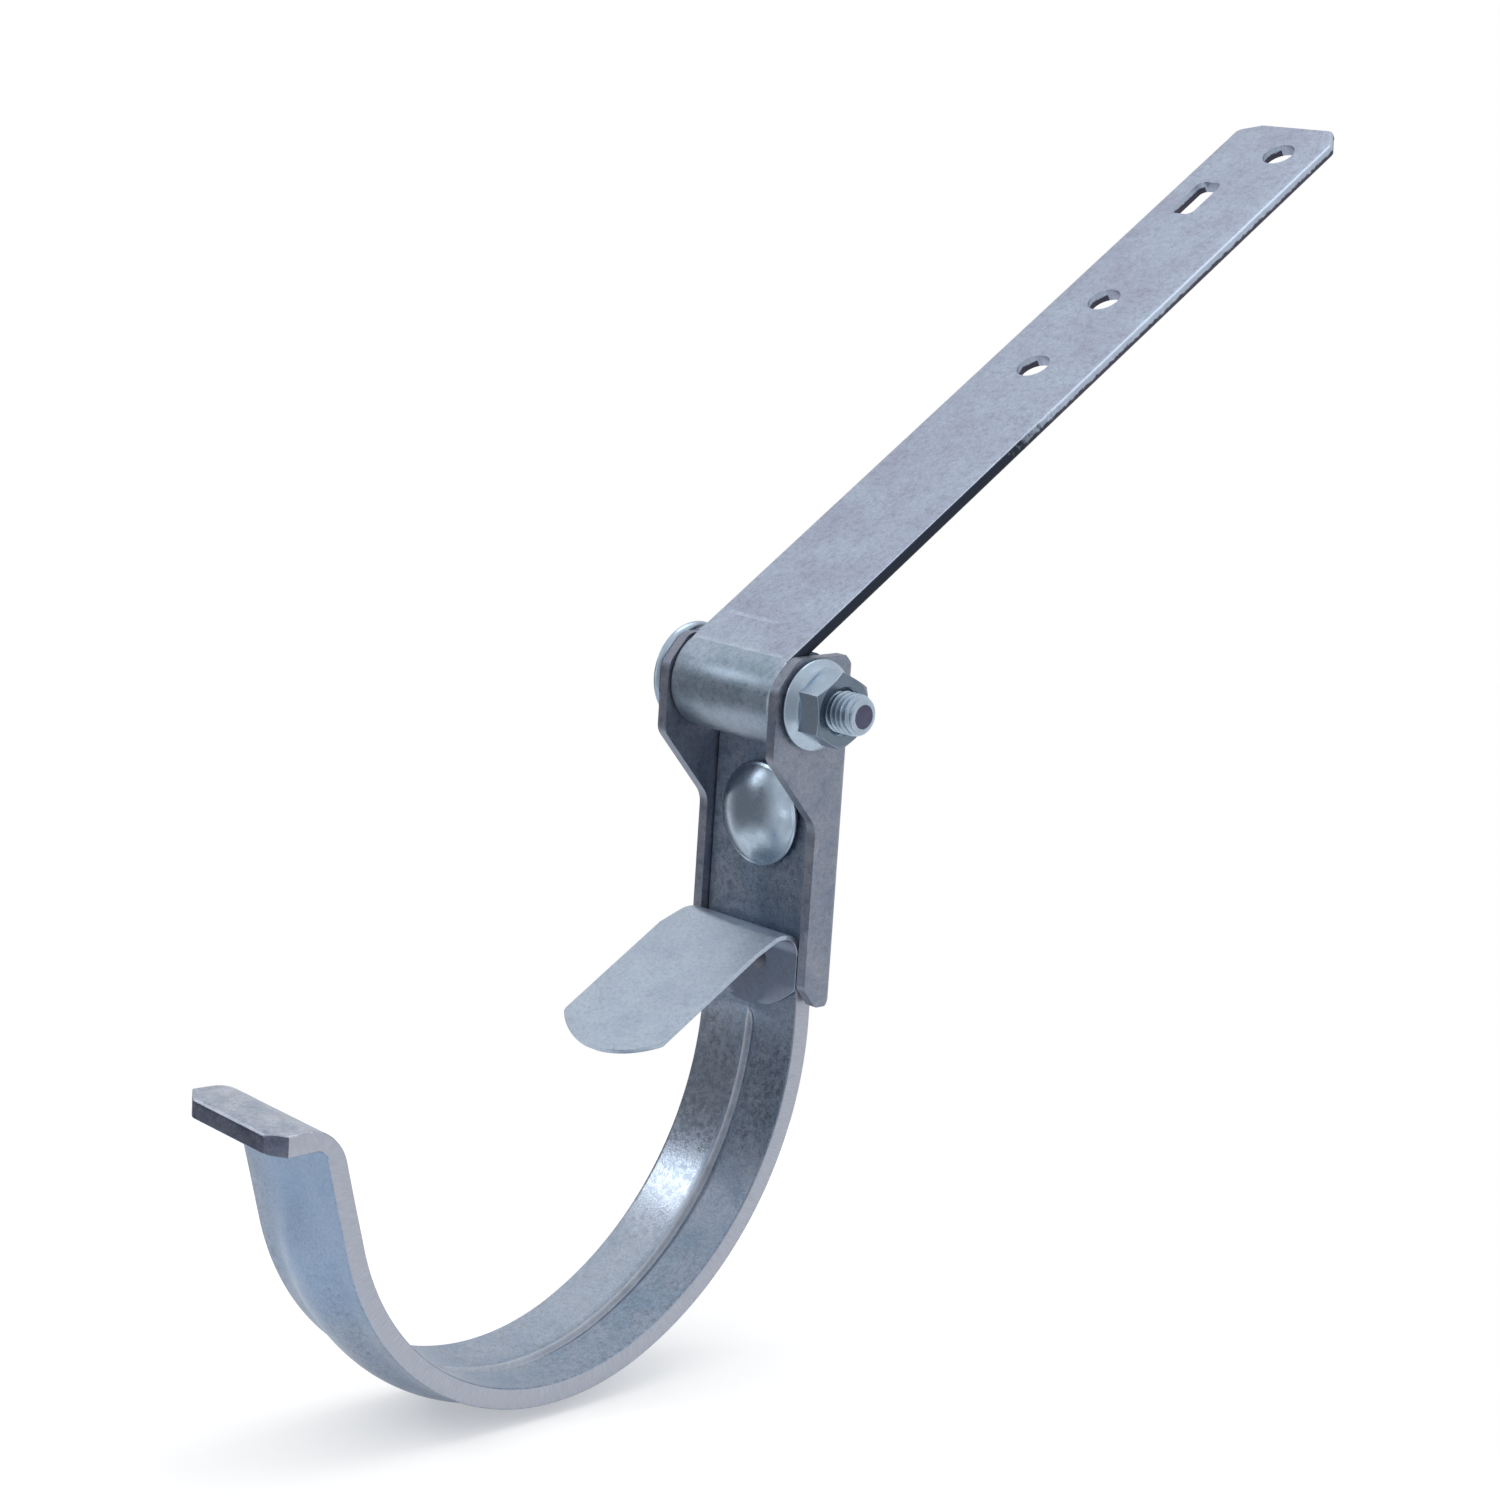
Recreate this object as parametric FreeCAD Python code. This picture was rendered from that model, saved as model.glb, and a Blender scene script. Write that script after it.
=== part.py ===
import FreeCAD, Part
import math
import os

os.makedirs("parts", exist_ok=True)

V = FreeCAD.Vector

# Frame, in mm: X runs along the pivot bolt with its nut on the +X side, Y points to the
# building, Z points up. The origin is the centre of the half-round seat.

# The strap's length from the pivot to its tip, and its slope
STRAP_LENGTH = 184.2
PITCH_DEG = 33.3

# Widths that run into each other: the strap's eye turns between the channel's ears, and the
# hook bar slides in the channel with more play and lies near its left side
STRAP_W = 27.3
STRAP_SIDE_GAP = 0.2
BAR_SIDE_PLAY = 1.6
BAR_EDGE_GAP = 0.15
CHANNEL_IN_W = STRAP_W + 2 * STRAP_SIDE_GAP
BAR_W = CHANNEL_IN_W - BAR_SIDE_PLAY
CLEVIS_X = BAR_SIDE_PLAY / 2 - BAR_EDGE_GAP

# Hook: flat bar bent to the gutter's half round
BAR_T = 4.0
BAR_FACE_Y = 54.4
BAR_TOP_Z = 61.9
BAR_TOP_R = 4.0
ARC_START_Z = 8.8
ARC_REAR_R = 61.9
ARC_REAR_DEG = 65.9
ARC_FRONT_R = 47.7
ARC_END_DEG = 164.5
LIP_TOP_Z = 7.8
LIP_BEND_R = 10.0
LIP_UNDER_R = 3.0
LIP_FRONT_Y = -68.6
LIP_W = BAR_W + 2.2
LIP_ROOT_W = BAR_W + 0.5
LIP_CHAMFER_X = 3.6
LIP_CHAMFER_Y = 2.6
FLARE_START_Z = -12.0

# Bead pressed along the hook: groove on the inner face, rise on the outer face
GROOVE_DEPTH = 1.7
GROOVE_FLANK_DEG = 20.0
GROOVE_NOSE_R = 2.5
GROOVE_SHOULDER_R = 6.0
RISE_HEIGHT = 2.3
RISE_FLANK_DEG = 20.0
RISE_CROWN_R = 14.0
RISE_SHOULDER_R = 7.0
BEAD_START_DEG = 0.4
BEAD_RUN_IN = 4.5
BEAD_RUN_OUT = 15.0
BEAD_OVER = 0.6
# the bead's section starts this far inside the bar's face, so that the two cross cleanly
BEAD_SINK = 0.08

# Clevis channel: folded sheet
SHEET_T = 2.2
CHANNEL_OUT_R = 2.4
CHANNEL_IN_R = 0.15
SEAT_GAP = 0.04
EAR_FRONT_Y = 40.3
EAR_TOP_Z = 81.1
EAR_REAR_TOP_Z = 78.2
EAR_CUT_REAR_Y = 57.6
EAR_CUT_FRONT_Y = 45.2
EAR_CUT_FRONT_Z = 75.6
STEP_TOP_Z = 62.2
STEP_LOW_Z = 48.4
FLANGE_FRONT_Y = 52.7
FLANGE_END_CUT = 3.4
CHANNEL_BOTTOM_Z = 12.4
WEB_TOP_Z = 57.0
SLOT_CLEARANCE = 0.7

# Pivot
PIVOT_Y = 49.9
PIVOT_Z = 72.3
EYE_R = 9.45
RUNNING_GAP = 0.05

# Rafter strap: flat strip rolled to an eye
STRAP_T = 2.5
EYE_SEAM_DEG = 50.0
TIP_LEFT_X = 6.0
TIP_LEFT_S = 2.8
TIP_RIGHT_X = 3.8
TIP_RIGHT_S = 5.6
TIP_R = 1.6
SCREW_HOLE_D = 7.0
# each screw hole: distance from the strap's middle line, distance back from the tip
SCREW_HOLES = [(-1.65, 89.8), (-1.55, 66.0), (3.25, 10.4)]
STRAP_SLOT_X = -5.65
STRAP_SLOT_BACK = 28.6
STRAP_SLOT_W = 6.0
STRAP_SLOT_L = 11.8
STRAP_SLOT_R = 1.6
# press marks across the strap: distance along it
PRESS_MARKS = [1.1, 9.4]
PRESS_MARK_DEPTH = 0.22
PRESS_MARK_R = 0.55

# M8 bolts with mushroom head and short square neck, and flange nuts
BOLT_D = 8.0
HEAD_D = 20.35
HEAD_H = 4.6
HEAD_RIM = 1.2
NECK_A = 8.0
NECK_CLEARANCE = 0.2
BOLT_CHAMFER = 1.0
PIVOT_END_X = 29.3
CLAMP_X = 0.85
CLAMP_Z = 47.66
CLAMP_STICK_OUT = 3.2
NUT_HEX = 13.0
NUT_H = 8.0
NUT_SEAT_D = 15.6
NUT_FLANGE_D = 17.5
NUT_FLANGE_LOW = 0.8
NUT_FLANGE_RIM = 1.3
NUT_CONE_H = 2.9
NUT_CONE_D = 13.6
NUT_HOLE_GAP = 0.02
NUT_TOP_CHAMFER = 0.7
NUT_TURN_DEG = 3.0
CLAMP_NUT_TURN_DEG = 20.0

# Height adjustment of the hook in the channel
TRAVEL_DOWN = 20.0
TRAVEL_UP = 2.0

# Spring clip and its rivet
CLIP_T = 1.0
# the tab is wider on the left than the base plate, which lies between the flanges, and
# its left edge slants in between these two distances
CLIP_TAB_LEFT = -BAR_W / 2 - 2.05
CLIP_BASE_LEFT = -BAR_W / 2 + 0.45
CLIP_RIGHT = BAR_W / 2 - 0.65
CLIP_SLANT_FRONT_Y = 43.7
CLIP_SLANT_REAR_Y = 50.2
CLIP_BASE_END_R = 18.2
CLIP_TAB_END_R = 17.6
CLIP_TAB_END_X = -2.4
CLIP_BOTTOM_Z = 10.0
CLIP_FOLD_R = 4.5
CLIP_FOLD_TOP_Z = 26.8
CLIP_TAB_DEG = 31.0
CLIP_TAB_L = 37.8
RIVET_D = 3.0
RIVET_HEAD_D = 3.8
RIVET_HEAD_H = 0.4
RIVET_X = 3.2
RIVET_Z = 19.4
RIVET_FIT = 0.02

# Values that follow from the ones above
BAR_BACK_Y = BAR_FACE_Y + BAR_T
WEB_IN_Y = BAR_BACK_Y + SEAT_GAP
WEB_OUT_Y = WEB_IN_Y + SHEET_T
CHANNEL_OUT_W = CHANNEL_IN_W + 2 * SHEET_T
HALF_IN = CHANNEL_IN_W / 2
HALF_OUT = CHANNEL_OUT_W / 2
ARM_LEAN_DEG = 180.0 - ARC_END_DEG
SLOT_R = BOLT_D / 2 + SLOT_CLEARANCE


def yz(y, z, x=0.0):
    return V(x, y, z)


def line(a, b):
    return Part.LineSegment(a, b).toShape()


def arc(a, m, b):
    return Part.Arc(a, m, b).toShape()


def prism(edges, direction):
    face = Part.Face(Part.Wire(edges))
    return face.extrude(direction)


def polygon_prism(points, direction):
    face = Part.Face(Part.makePolygon(points + [points[0]]))
    return face.extrude(direction)


def box(x0, x1, y0, y1, z0, z1):
    return Part.makeBox(x1 - x0, y1 - y0, z1 - z0, V(x0, y0, z0))


def save(shape, name):
    solids = shape.Solids
    if len(solids) != 1 or not shape.isValid():
        raise RuntimeError("%s: %d solids, valid %s" % (name, len(solids), shape.isValid()))
    solids[0].exportStep("parts/%s.step" % name)


def arc_centres():
    rear = (BAR_FACE_Y - ARC_REAR_R, ARC_START_Z)
    t = math.radians(ARC_REAR_DEG)
    step = ARC_REAR_R - ARC_FRONT_R
    front = (rear[0] + step * math.cos(t), rear[1] - step * math.sin(t))
    return rear, front


def hook_point(deg, out=0.0):
    """Point of the hook's inner face at a turning angle, moved outwards by out."""
    rear, front = arc_centres()
    t = math.radians(deg)
    if deg <= 0.0:
        # above the arc the bar is straight
        return yz(BAR_FACE_Y + out, ARC_START_Z + ARC_REAR_R * math.radians(-deg))
    if deg <= ARC_REAR_DEG:
        r = ARC_REAR_R + out
        return yz(rear[0] + r * math.cos(t), rear[1] - r * math.sin(t))
    if deg <= ARC_END_DEG:
        r = ARC_FRONT_R + out
        return yz(front[0] + r * math.cos(t), front[1] - r * math.sin(t))
    # beyond the arc the arm is straight
    t = math.radians(ARC_END_DEG)
    r = ARC_FRONT_R + out
    run = ARC_FRONT_R * math.radians(deg - ARC_END_DEG)
    y = front[0] + r * math.cos(t) - run * math.sin(t)
    z = front[1] - r * math.sin(t) - run * math.cos(t)
    return yz(y, z)


def hook_normal(deg):
    t = math.radians(min(max(deg, 0.0), ARC_END_DEG))
    return V(0, math.cos(t), -math.sin(t))


def lip_corner(out, top):
    """Where the arm's face, moved out by out, meets the lip's face at height top."""
    a = hook_point(ARC_END_DEG, out)
    lean = math.radians(ARM_LEAN_DEG)
    return yz(a.y - (top - a.z) * math.tan(lean), top)


def round_corner(corner, radius):
    """Start, middle and end of the round between the leaning arm and the level lip."""
    lean = math.radians(ARM_LEAN_DEG)
    half = (math.pi / 2 - lean) / 2
    cut = radius * math.tan(half)
    start = corner + V(0, math.sin(lean), -math.cos(lean)) * cut
    end = corner + V(0, -1, 0) * cut
    centre = end + V(0, 0, -radius)
    to_corner = corner - centre
    to_corner.normalize()
    return start, centre + to_corner * radius, end


def hook_side_profile():
    m1 = ARC_REAR_DEG / 2
    m2 = (ARC_REAR_DEG + ARC_END_DEG) / 2
    i_start, i_mid, i_end = round_corner(lip_corner(0.0, LIP_TOP_Z), LIP_BEND_R)
    o_start, o_mid, o_end = round_corner(lip_corner(BAR_T, LIP_TOP_Z - BAR_T), LIP_UNDER_R)
    t = BAR_T
    top_in = yz(BAR_FACE_Y, BAR_TOP_Z)
    top_out = yz(BAR_BACK_Y, BAR_TOP_Z)
    front_top = yz(LIP_FRONT_Y, LIP_TOP_Z)
    front_low = yz(LIP_FRONT_Y, LIP_TOP_Z - BAR_T)
    return [
        line(top_in, hook_point(0.0)),
        arc(hook_point(0.0), hook_point(m1), hook_point(ARC_REAR_DEG)),
        arc(hook_point(ARC_REAR_DEG), hook_point(m2), hook_point(ARC_END_DEG)),
        line(hook_point(ARC_END_DEG), i_start),
        arc(i_start, i_mid, i_end),
        line(i_end, front_top),
        line(front_top, front_low),
        line(front_low, o_end),
        arc(o_end, o_mid, o_start),
        line(o_start, hook_point(ARC_END_DEG, t)),
        arc(hook_point(ARC_END_DEG, t), hook_point(m2, t), hook_point(ARC_REAR_DEG, t)),
        arc(hook_point(ARC_REAR_DEG, t), hook_point(m1, t), hook_point(0.0, t)),
        line(hook_point(0.0, t), top_out),
        line(top_out, top_in),
    ]


def lip_outline():
    """Width of the front arm seen from the front: it flares where the bead runs out."""
    w0 = BAR_W / 2
    w1 = LIP_ROOT_W / 2
    root_z = LIP_TOP_Z - BAR_T
    mid_z = (FLARE_START_Z + root_z) / 2
    mid_w = w0 + (w1 - w0) * 0.28
    low = -80.0
    top = 20.0
    y = -90.0
    right = [V(w0, y, low), V(w0, y, FLARE_START_Z), V(mid_w, y, mid_z), V(w1, y, root_z), V(w1 + 3, y, top)]
    left = [V(-p.x, p.y, p.z) for p in right]
    edges = [
        line(right[0], right[1]),
        arc(right[1], right[2], right[3]),
        line(right[3], right[4]),
        line(right[4], left[4]),
        line(left[4], left[3]),
        arc(left[3], left[2], left[1]),
        line(left[1], left[0]),
        line(left[0], right[0]),
    ]
    return prism(edges, V(0, 90, 0))


def lip_plan():
    """Plan of the lip: flared sides and cut front corners."""
    w = LIP_W / 2
    y = LIP_FRONT_Y
    root = LIP_ROOT_W / 2
    points = [
        V(root, -55.0, -90.0),
        V(w, y + LIP_CHAMFER_Y, -90.0),
        V(w - LIP_CHAMFER_X, y, -90.0),
        V(-w + LIP_CHAMFER_X, y, -90.0),
        V(-w, y + LIP_CHAMFER_Y, -90.0),
        V(-root, -55.0, -90.0),
        V(-root, 0.0, -90.0),
        V(root, 0.0, -90.0),
    ]
    return polygon_prism(points, V(0, 0, 130.0))


def bead_values(height, flank_deg, crown_r, shoulder_r):
    """Half-width positions and heights of the bead's round crown, flanks and shoulders."""
    f = math.radians(flank_deg)
    x1 = crown_r * math.sin(f)
    d1 = crown_r * (1 - math.cos(f))
    d3 = shoulder_r * (1 - math.cos(f))
    x3 = shoulder_r * math.sin(f)
    x2 = (height - d1 - d3) / math.tan(f)
    xm = crown_r * math.sin(f / 2)
    dm = crown_r * (1 - math.cos(f / 2))
    xs = shoulder_r * math.sin(f / 2)
    ds = shoulder_r * (1 - math.cos(f / 2))
    w = x1 + x2 + x3
    rows = [(0.0, height), (xm, height - dm), (x1, height - d1), (x1 + x2, d3)]
    rows += [(w - xs, ds), (w, 0.0)]
    return rows


def bead_section(rows, deg, base, scale):
    """Closed section of the bead across the hook at a turning angle.

    base is the outward distance of the face it starts from and scale shrinks it at the ends.
    """
    n = hook_normal(deg)
    o = hook_point(deg, base) - n * BEAD_SINK
    w = scale[0]
    h = scale[1]

    def at(x, d):
        return o + n * (d * h) + V(x * w, 0, 0)

    edge = rows[5][0]
    right = [at(x, d) for x, d in rows]
    left = [at(-x, d) for x, d in rows]
    low_r = at(edge, 0) - n * BEAD_OVER
    low_l = at(-edge, 0) - n * BEAD_OVER
    edges = [
        line(low_l, left[5]),
        arc(left[5], left[4], left[3]),
        line(left[3], left[2]),
        arc(left[2], left[0], right[2]),
        line(right[2], right[3]),
        arc(right[3], right[4], right[5]),
        line(right[5], low_r),
        line(low_r, low_l),
    ]
    return Part.Wire(edges)


def bead_stations():
    """Turning angle and (width, height) scale of each section along the bead."""
    per_mm_in = math.degrees(1.0 / ARC_REAR_R)
    per_mm_out = math.degrees(1.0 / ARC_FRONT_R)
    stations = []
    for u in (0.0, 0.12, 0.3, 0.55, 0.8):
        deg = BEAD_START_DEG + u * BEAD_RUN_IN * per_mm_in
        k = math.sqrt(1 - (1 - u) ** 2)
        stations.append((deg, (0.3 + 0.7 * k, 0.02 + 0.98 * k)))
    full_from = BEAD_START_DEG + BEAD_RUN_IN * per_mm_in
    full_to = ARC_END_DEG - 8.0
    n = 12
    for i in range(n + 1):
        deg = full_from + (full_to - full_from) * i / n
        stations.append((deg, (1.0, 1.0)))
    for u in (0.25, 0.5, 0.75, 1.0):
        deg = full_to + u * BEAD_RUN_OUT * per_mm_out
        k = 0.5 * (1 + math.cos(math.pi * u))
        stations.append((deg, (0.6 + 0.4 * k, 0.02 + 0.98 * k)))
    return stations


def bead_solid(rows, base):
    wires = [bead_section(rows, deg, base, scale) for deg, scale in bead_stations()]
    return Part.makeLoft(wires, True, False)


def square_prism(side, x, y, z, depth):
    h = side / 2
    return box(x - h, x + h, y, y + depth, z - h, z + h)


def gutter_hook():
    w = LIP_W / 2 + 1
    bar = Part.Face(Part.Wire(hook_side_profile()))
    bar.translate(V(-w, 0, 0))
    bar = bar.extrude(V(2 * w, 0, 0))
    rear = box(-BAR_W / 2, BAR_W / 2, -0.001, 80, -90, 90)
    front = lip_outline().common(lip_plan())
    hook = bar.common(rear.fuse(front)).removeSplitter()
    hook = round_bar_top(hook)
    rise_h = RISE_HEIGHT + BEAD_SINK
    groove_h = GROOVE_DEPTH + BEAD_SINK
    rise = bead_values(rise_h, RISE_FLANK_DEG, RISE_CROWN_R, RISE_SHOULDER_R)
    groove = bead_values(groove_h, GROOVE_FLANK_DEG, GROOVE_NOSE_R, GROOVE_SHOULDER_R)
    hook = hook.fuse(bead_solid(rise, BAR_T))
    hook = hook.cut(bead_solid(groove, 0.0))
    neck = square_prism(NECK_A + 2 * NECK_CLEARANCE, CLAMP_X, BAR_FACE_Y - 1, CLAMP_Z, BAR_T + 2)
    start = V(RIVET_X, BAR_FACE_Y - 1, RIVET_Z)
    rivet = Part.makeCylinder(RIVET_D / 2 + RIVET_FIT, BAR_T + 2, start, V(0, 1, 0))
    return hook.cut(neck).cut(rivet)


def round_bar_top(hook):
    """Round the two top corners of the bar."""
    edges = []
    for e in hook.Edges:
        c = e.CenterOfMass
        if abs(c.z - BAR_TOP_Z) < 0.01 and abs(abs(c.x) - BAR_W / 2) < 0.01:
            edges.append(e)
    return hook.makeFillet(BAR_TOP_R, edges)


def clevis_side_profile():
    """Side view of the folded sheet: wide ears, a slanting step and narrow flanges."""
    y_rear = WEB_OUT_Y
    points = [
        (y_rear, CHANNEL_BOTTOM_Z),
        (y_rear, EAR_REAR_TOP_Z),
        (EAR_CUT_REAR_Y, EAR_TOP_Z),
        (EAR_CUT_FRONT_Y, EAR_TOP_Z),
        (EAR_FRONT_Y, EAR_CUT_FRONT_Z),
        (EAR_FRONT_Y, STEP_TOP_Z),
        (FLANGE_FRONT_Y, STEP_LOW_Z),
        (FLANGE_FRONT_Y, CHANNEL_BOTTOM_Z + FLANGE_END_CUT),
        (FLANGE_FRONT_Y + FLANGE_END_CUT, CHANNEL_BOTTOM_Z),
    ]
    return [yz(y, z, -HALF_OUT) for y, z in points]


def clevis_channel():
    body = polygon_prism(clevis_side_profile(), V(CHANNEL_OUT_W, 0, 0))
    body = round_profile_corners(body)
    folds = []
    for e in body.Edges:
        c = e.CenterOfMass
        upright = abs(e.tangentAt(e.FirstParameter).z) > 0.99
        if upright and abs(c.y - WEB_OUT_Y) < 0.01 and abs(abs(c.x) - HALF_OUT) < 0.01:
            folds.append(e)
    body = body.makeFillet(CHANNEL_OUT_R, folds)
    inner = box(-HALF_IN, HALF_IN, 0, WEB_IN_Y, -10, 120)
    corners = [e for e in inner.Edges if abs(e.CenterOfMass.y - WEB_IN_Y) < 0.01]
    corners = [e for e in corners if abs(abs(e.CenterOfMass.x) - HALF_IN) < 0.01]
    inner = inner.makeFillet(CHANNEL_IN_R, corners)
    body = body.cut(inner)
    body = body.cut(box(-HALF_IN, HALF_IN, WEB_IN_Y - 5, WEB_OUT_Y + 5, WEB_TOP_Z, 120))
    body = body.cut(web_slot())
    hole = Part.makeCylinder(BOLT_D / 2 + NECK_CLEARANCE, 30, V(0, PIVOT_Y, PIVOT_Z), V(1, 0, 0))
    side = NECK_A + 2 * NECK_CLEARANCE
    square = box(-30, 0, PIVOT_Y - side / 2, PIVOT_Y + side / 2, PIVOT_Z - side / 2, PIVOT_Z + side / 2)
    body = body.cut(hole).cut(square)
    body.translate(V(CLEVIS_X, 0, 0))
    return body


def round_profile_corners(body):
    """Round the corners of the ears and flanges as the sheet blank has them."""
    radii = {
        (EAR_CUT_REAR_Y, EAR_TOP_Z): 0.8,
        (EAR_CUT_FRONT_Y, EAR_TOP_Z): 3.0,
        (EAR_FRONT_Y, EAR_CUT_FRONT_Z): 4.0,
        (EAR_FRONT_Y, STEP_TOP_Z): 3.0,
        (FLANGE_FRONT_Y, STEP_LOW_Z): 5.0,
        (FLANGE_FRONT_Y, CHANNEL_BOTTOM_Z + FLANGE_END_CUT): 2.0,
        (FLANGE_FRONT_Y + FLANGE_END_CUT, CHANNEL_BOTTOM_Z): 2.0,
    }
    for (y, z), r in radii.items():
        picked = []
        for e in body.Edges:
            c = e.CenterOfMass
            if e.Length > CHANNEL_OUT_W - 0.1 and abs(c.y - y) < 0.01 and abs(c.z - z) < 0.01:
                picked.append(e)
        body = body.makeFillet(r, picked)
    return body


def web_slot():
    """Slot in the hidden web in which the clamp bolt travels."""
    z0 = CLAMP_Z - TRAVEL_DOWN
    z1 = CLAMP_Z + TRAVEL_UP
    y = WEB_IN_Y - 1
    depth = V(0, SHEET_T + 2, 0)
    low = Part.makeCylinder(SLOT_R, depth.y, V(0, y, z0), V(0, 1, 0))
    high = Part.makeCylinder(SLOT_R, depth.y, V(0, y, z1), V(0, 1, 0))
    middle = box(-SLOT_R, SLOT_R, y, y + depth.y, z0, z1)
    return low.fuse(high).fuse(middle).removeSplitter()


def strap_point(s, d, x=0.0):
    """Point at distance s along the strap and d from the pivot axis square to it."""
    a = math.radians(PITCH_DEG)
    y = PIVOT_Y + s * math.cos(a) - d * math.sin(a)
    z = PIVOT_Z + s * math.sin(a) + d * math.cos(a)
    return V(x, y, z)


def place_on_strap(shape):
    """Turn a shape drawn flat (s along Y, d along Z, pivot at the origin) to the pitch."""
    shape.rotate(V(0, 0, 0), V(1, 0, 0), PITCH_DEG)
    shape.translate(V(CLEVIS_X, PIVOT_Y, PIVOT_Z))
    return shape


def strap_blank():
    w = STRAP_W / 2
    end = STRAP_LENGTH
    low = EYE_R - STRAP_T
    points = [
        V(-w, 0, low),
        V(w, 0, low),
        V(w, end - TIP_RIGHT_S, low),
        V(w - TIP_RIGHT_X, end, low),
        V(-w + TIP_LEFT_X, end, low),
        V(-w, end - TIP_LEFT_S, low),
    ]
    plate = polygon_prism(points, V(0, 0, STRAP_T))
    corners = []
    for e in plate.Edges:
        c = e.CenterOfMass
        upright = abs(e.tangentAt(e.FirstParameter).z) > 0.99
        if upright and c.y > STRAP_LENGTH / 2:
            corners.append(e)
    return plate.makeFillet(TIP_R, corners)


def strap_eye():
    """The rolled end: a ring open for a short stretch below the strap."""
    start = V(-STRAP_W / 2, 0, 0)
    outer = Part.makeCylinder(EYE_R, STRAP_W, start, V(1, 0, 0))
    inner = Part.makeCylinder(EYE_R - STRAP_T, STRAP_W, start, V(1, 0, 0))
    ring = outer.cut(inner)
    a = math.radians(90.0 - EYE_SEAM_DEG)
    far = 3 * EYE_R
    x = -STRAP_W / 2 - 1
    wedge = polygon_prism(
        [V(x, 0, 0), V(x, far * math.cos(a), far * math.sin(a)), V(x, far, far), V(x, 0, far)],
        V(STRAP_W + 2, 0, 0),
    )
    return ring.cut(wedge)


def press_mark(s):
    """Shallow rounded mark that the folding tool left across the strap."""
    depth = EYE_R - PRESS_MARK_DEPTH + PRESS_MARK_R
    return Part.makeCylinder(PRESS_MARK_R, STRAP_W + 2, V(-STRAP_W / 2 - 1, s, depth), V(1, 0, 0))


def rafter_strap():
    strap = strap_blank().fuse(strap_eye()).removeSplitter()
    for x, back in SCREW_HOLES:
        start = V(x, STRAP_LENGTH - back, 0)
        strap = strap.cut(Part.makeCylinder(SCREW_HOLE_D / 2, 20, start, V(0, 0, 1)))
    w = STRAP_SLOT_W / 2
    h = STRAP_SLOT_L / 2
    middle = STRAP_LENGTH - STRAP_SLOT_BACK
    slot = box(STRAP_SLOT_X - w, STRAP_SLOT_X + w, middle - h, middle + h, 0, 20)
    upright = [e for e in slot.Edges if abs(e.tangentAt(e.FirstParameter).z) > 0.99]
    strap = strap.cut(slot.makeFillet(STRAP_SLOT_R, upright))
    for s in PRESS_MARKS:
        strap = strap.cut(press_mark(s))
    return place_on_strap(strap)


def mushroom_head():
    """Head seated on the plane z = 0 and rising to +Z, as a revolved profile."""
    r = HEAD_D / 2
    rise = HEAD_H - HEAD_RIM
    big = (r * r + rise * rise) / (2 * rise)
    t = math.asin(r / big) / 2
    mid = V(big * math.sin(t), 0, HEAD_H - big + big * math.cos(t))
    edges = [
        line(V(0, 0, 0), V(r - 0.3, 0, 0)),
        line(V(r - 0.3, 0, 0), V(r, 0, 0.3)),
        line(V(r, 0, 0.3), V(r, 0, HEAD_RIM)),
        arc(V(r, 0, HEAD_RIM), mid, V(0, 0, HEAD_H)),
        line(V(0, 0, HEAD_H), V(0, 0, 0)),
    ]
    return Part.Face(Part.Wire(edges)).revolve(V(0, 0, 0), V(0, 0, 1), 360)


def bolt(neck, length):
    """Bolt with the head towards +Z and the shank down to z = -length."""
    r = BOLT_D / 2
    a = NECK_A / 2
    square = box(-a, a, -a, a, -neck, 0)
    shank = Part.makeCylinder(r, length, V(0, 0, -length))
    end = [e for e in shank.Edges if abs(e.CenterOfMass.z + length) < 0.01 and e.Length > 1]
    shank = shank.makeChamfer(BOLT_CHAMFER, end)
    return mushroom_head().fuse(square).fuse(shank).removeSplitter()


def pivot_bolt():
    shape = bolt(SHEET_T, HALF_OUT + PIVOT_END_X)
    shape.rotate(V(0, 0, 0), V(0, 1, 0), -90)
    shape.translate(V(CLEVIS_X - HALF_OUT, PIVOT_Y, PIVOT_Z))
    return shape


def clamp_bolt():
    length = BAR_T + SEAT_GAP + SHEET_T + SEAT_GAP + NUT_H + CLAMP_STICK_OUT
    shape = bolt(BAR_T, length)
    shape.rotate(V(0, 0, 0), V(1, 0, 0), 90)
    shape.translate(V(CLAMP_X, BAR_FACE_Y, CLAMP_Z))
    return shape


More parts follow.
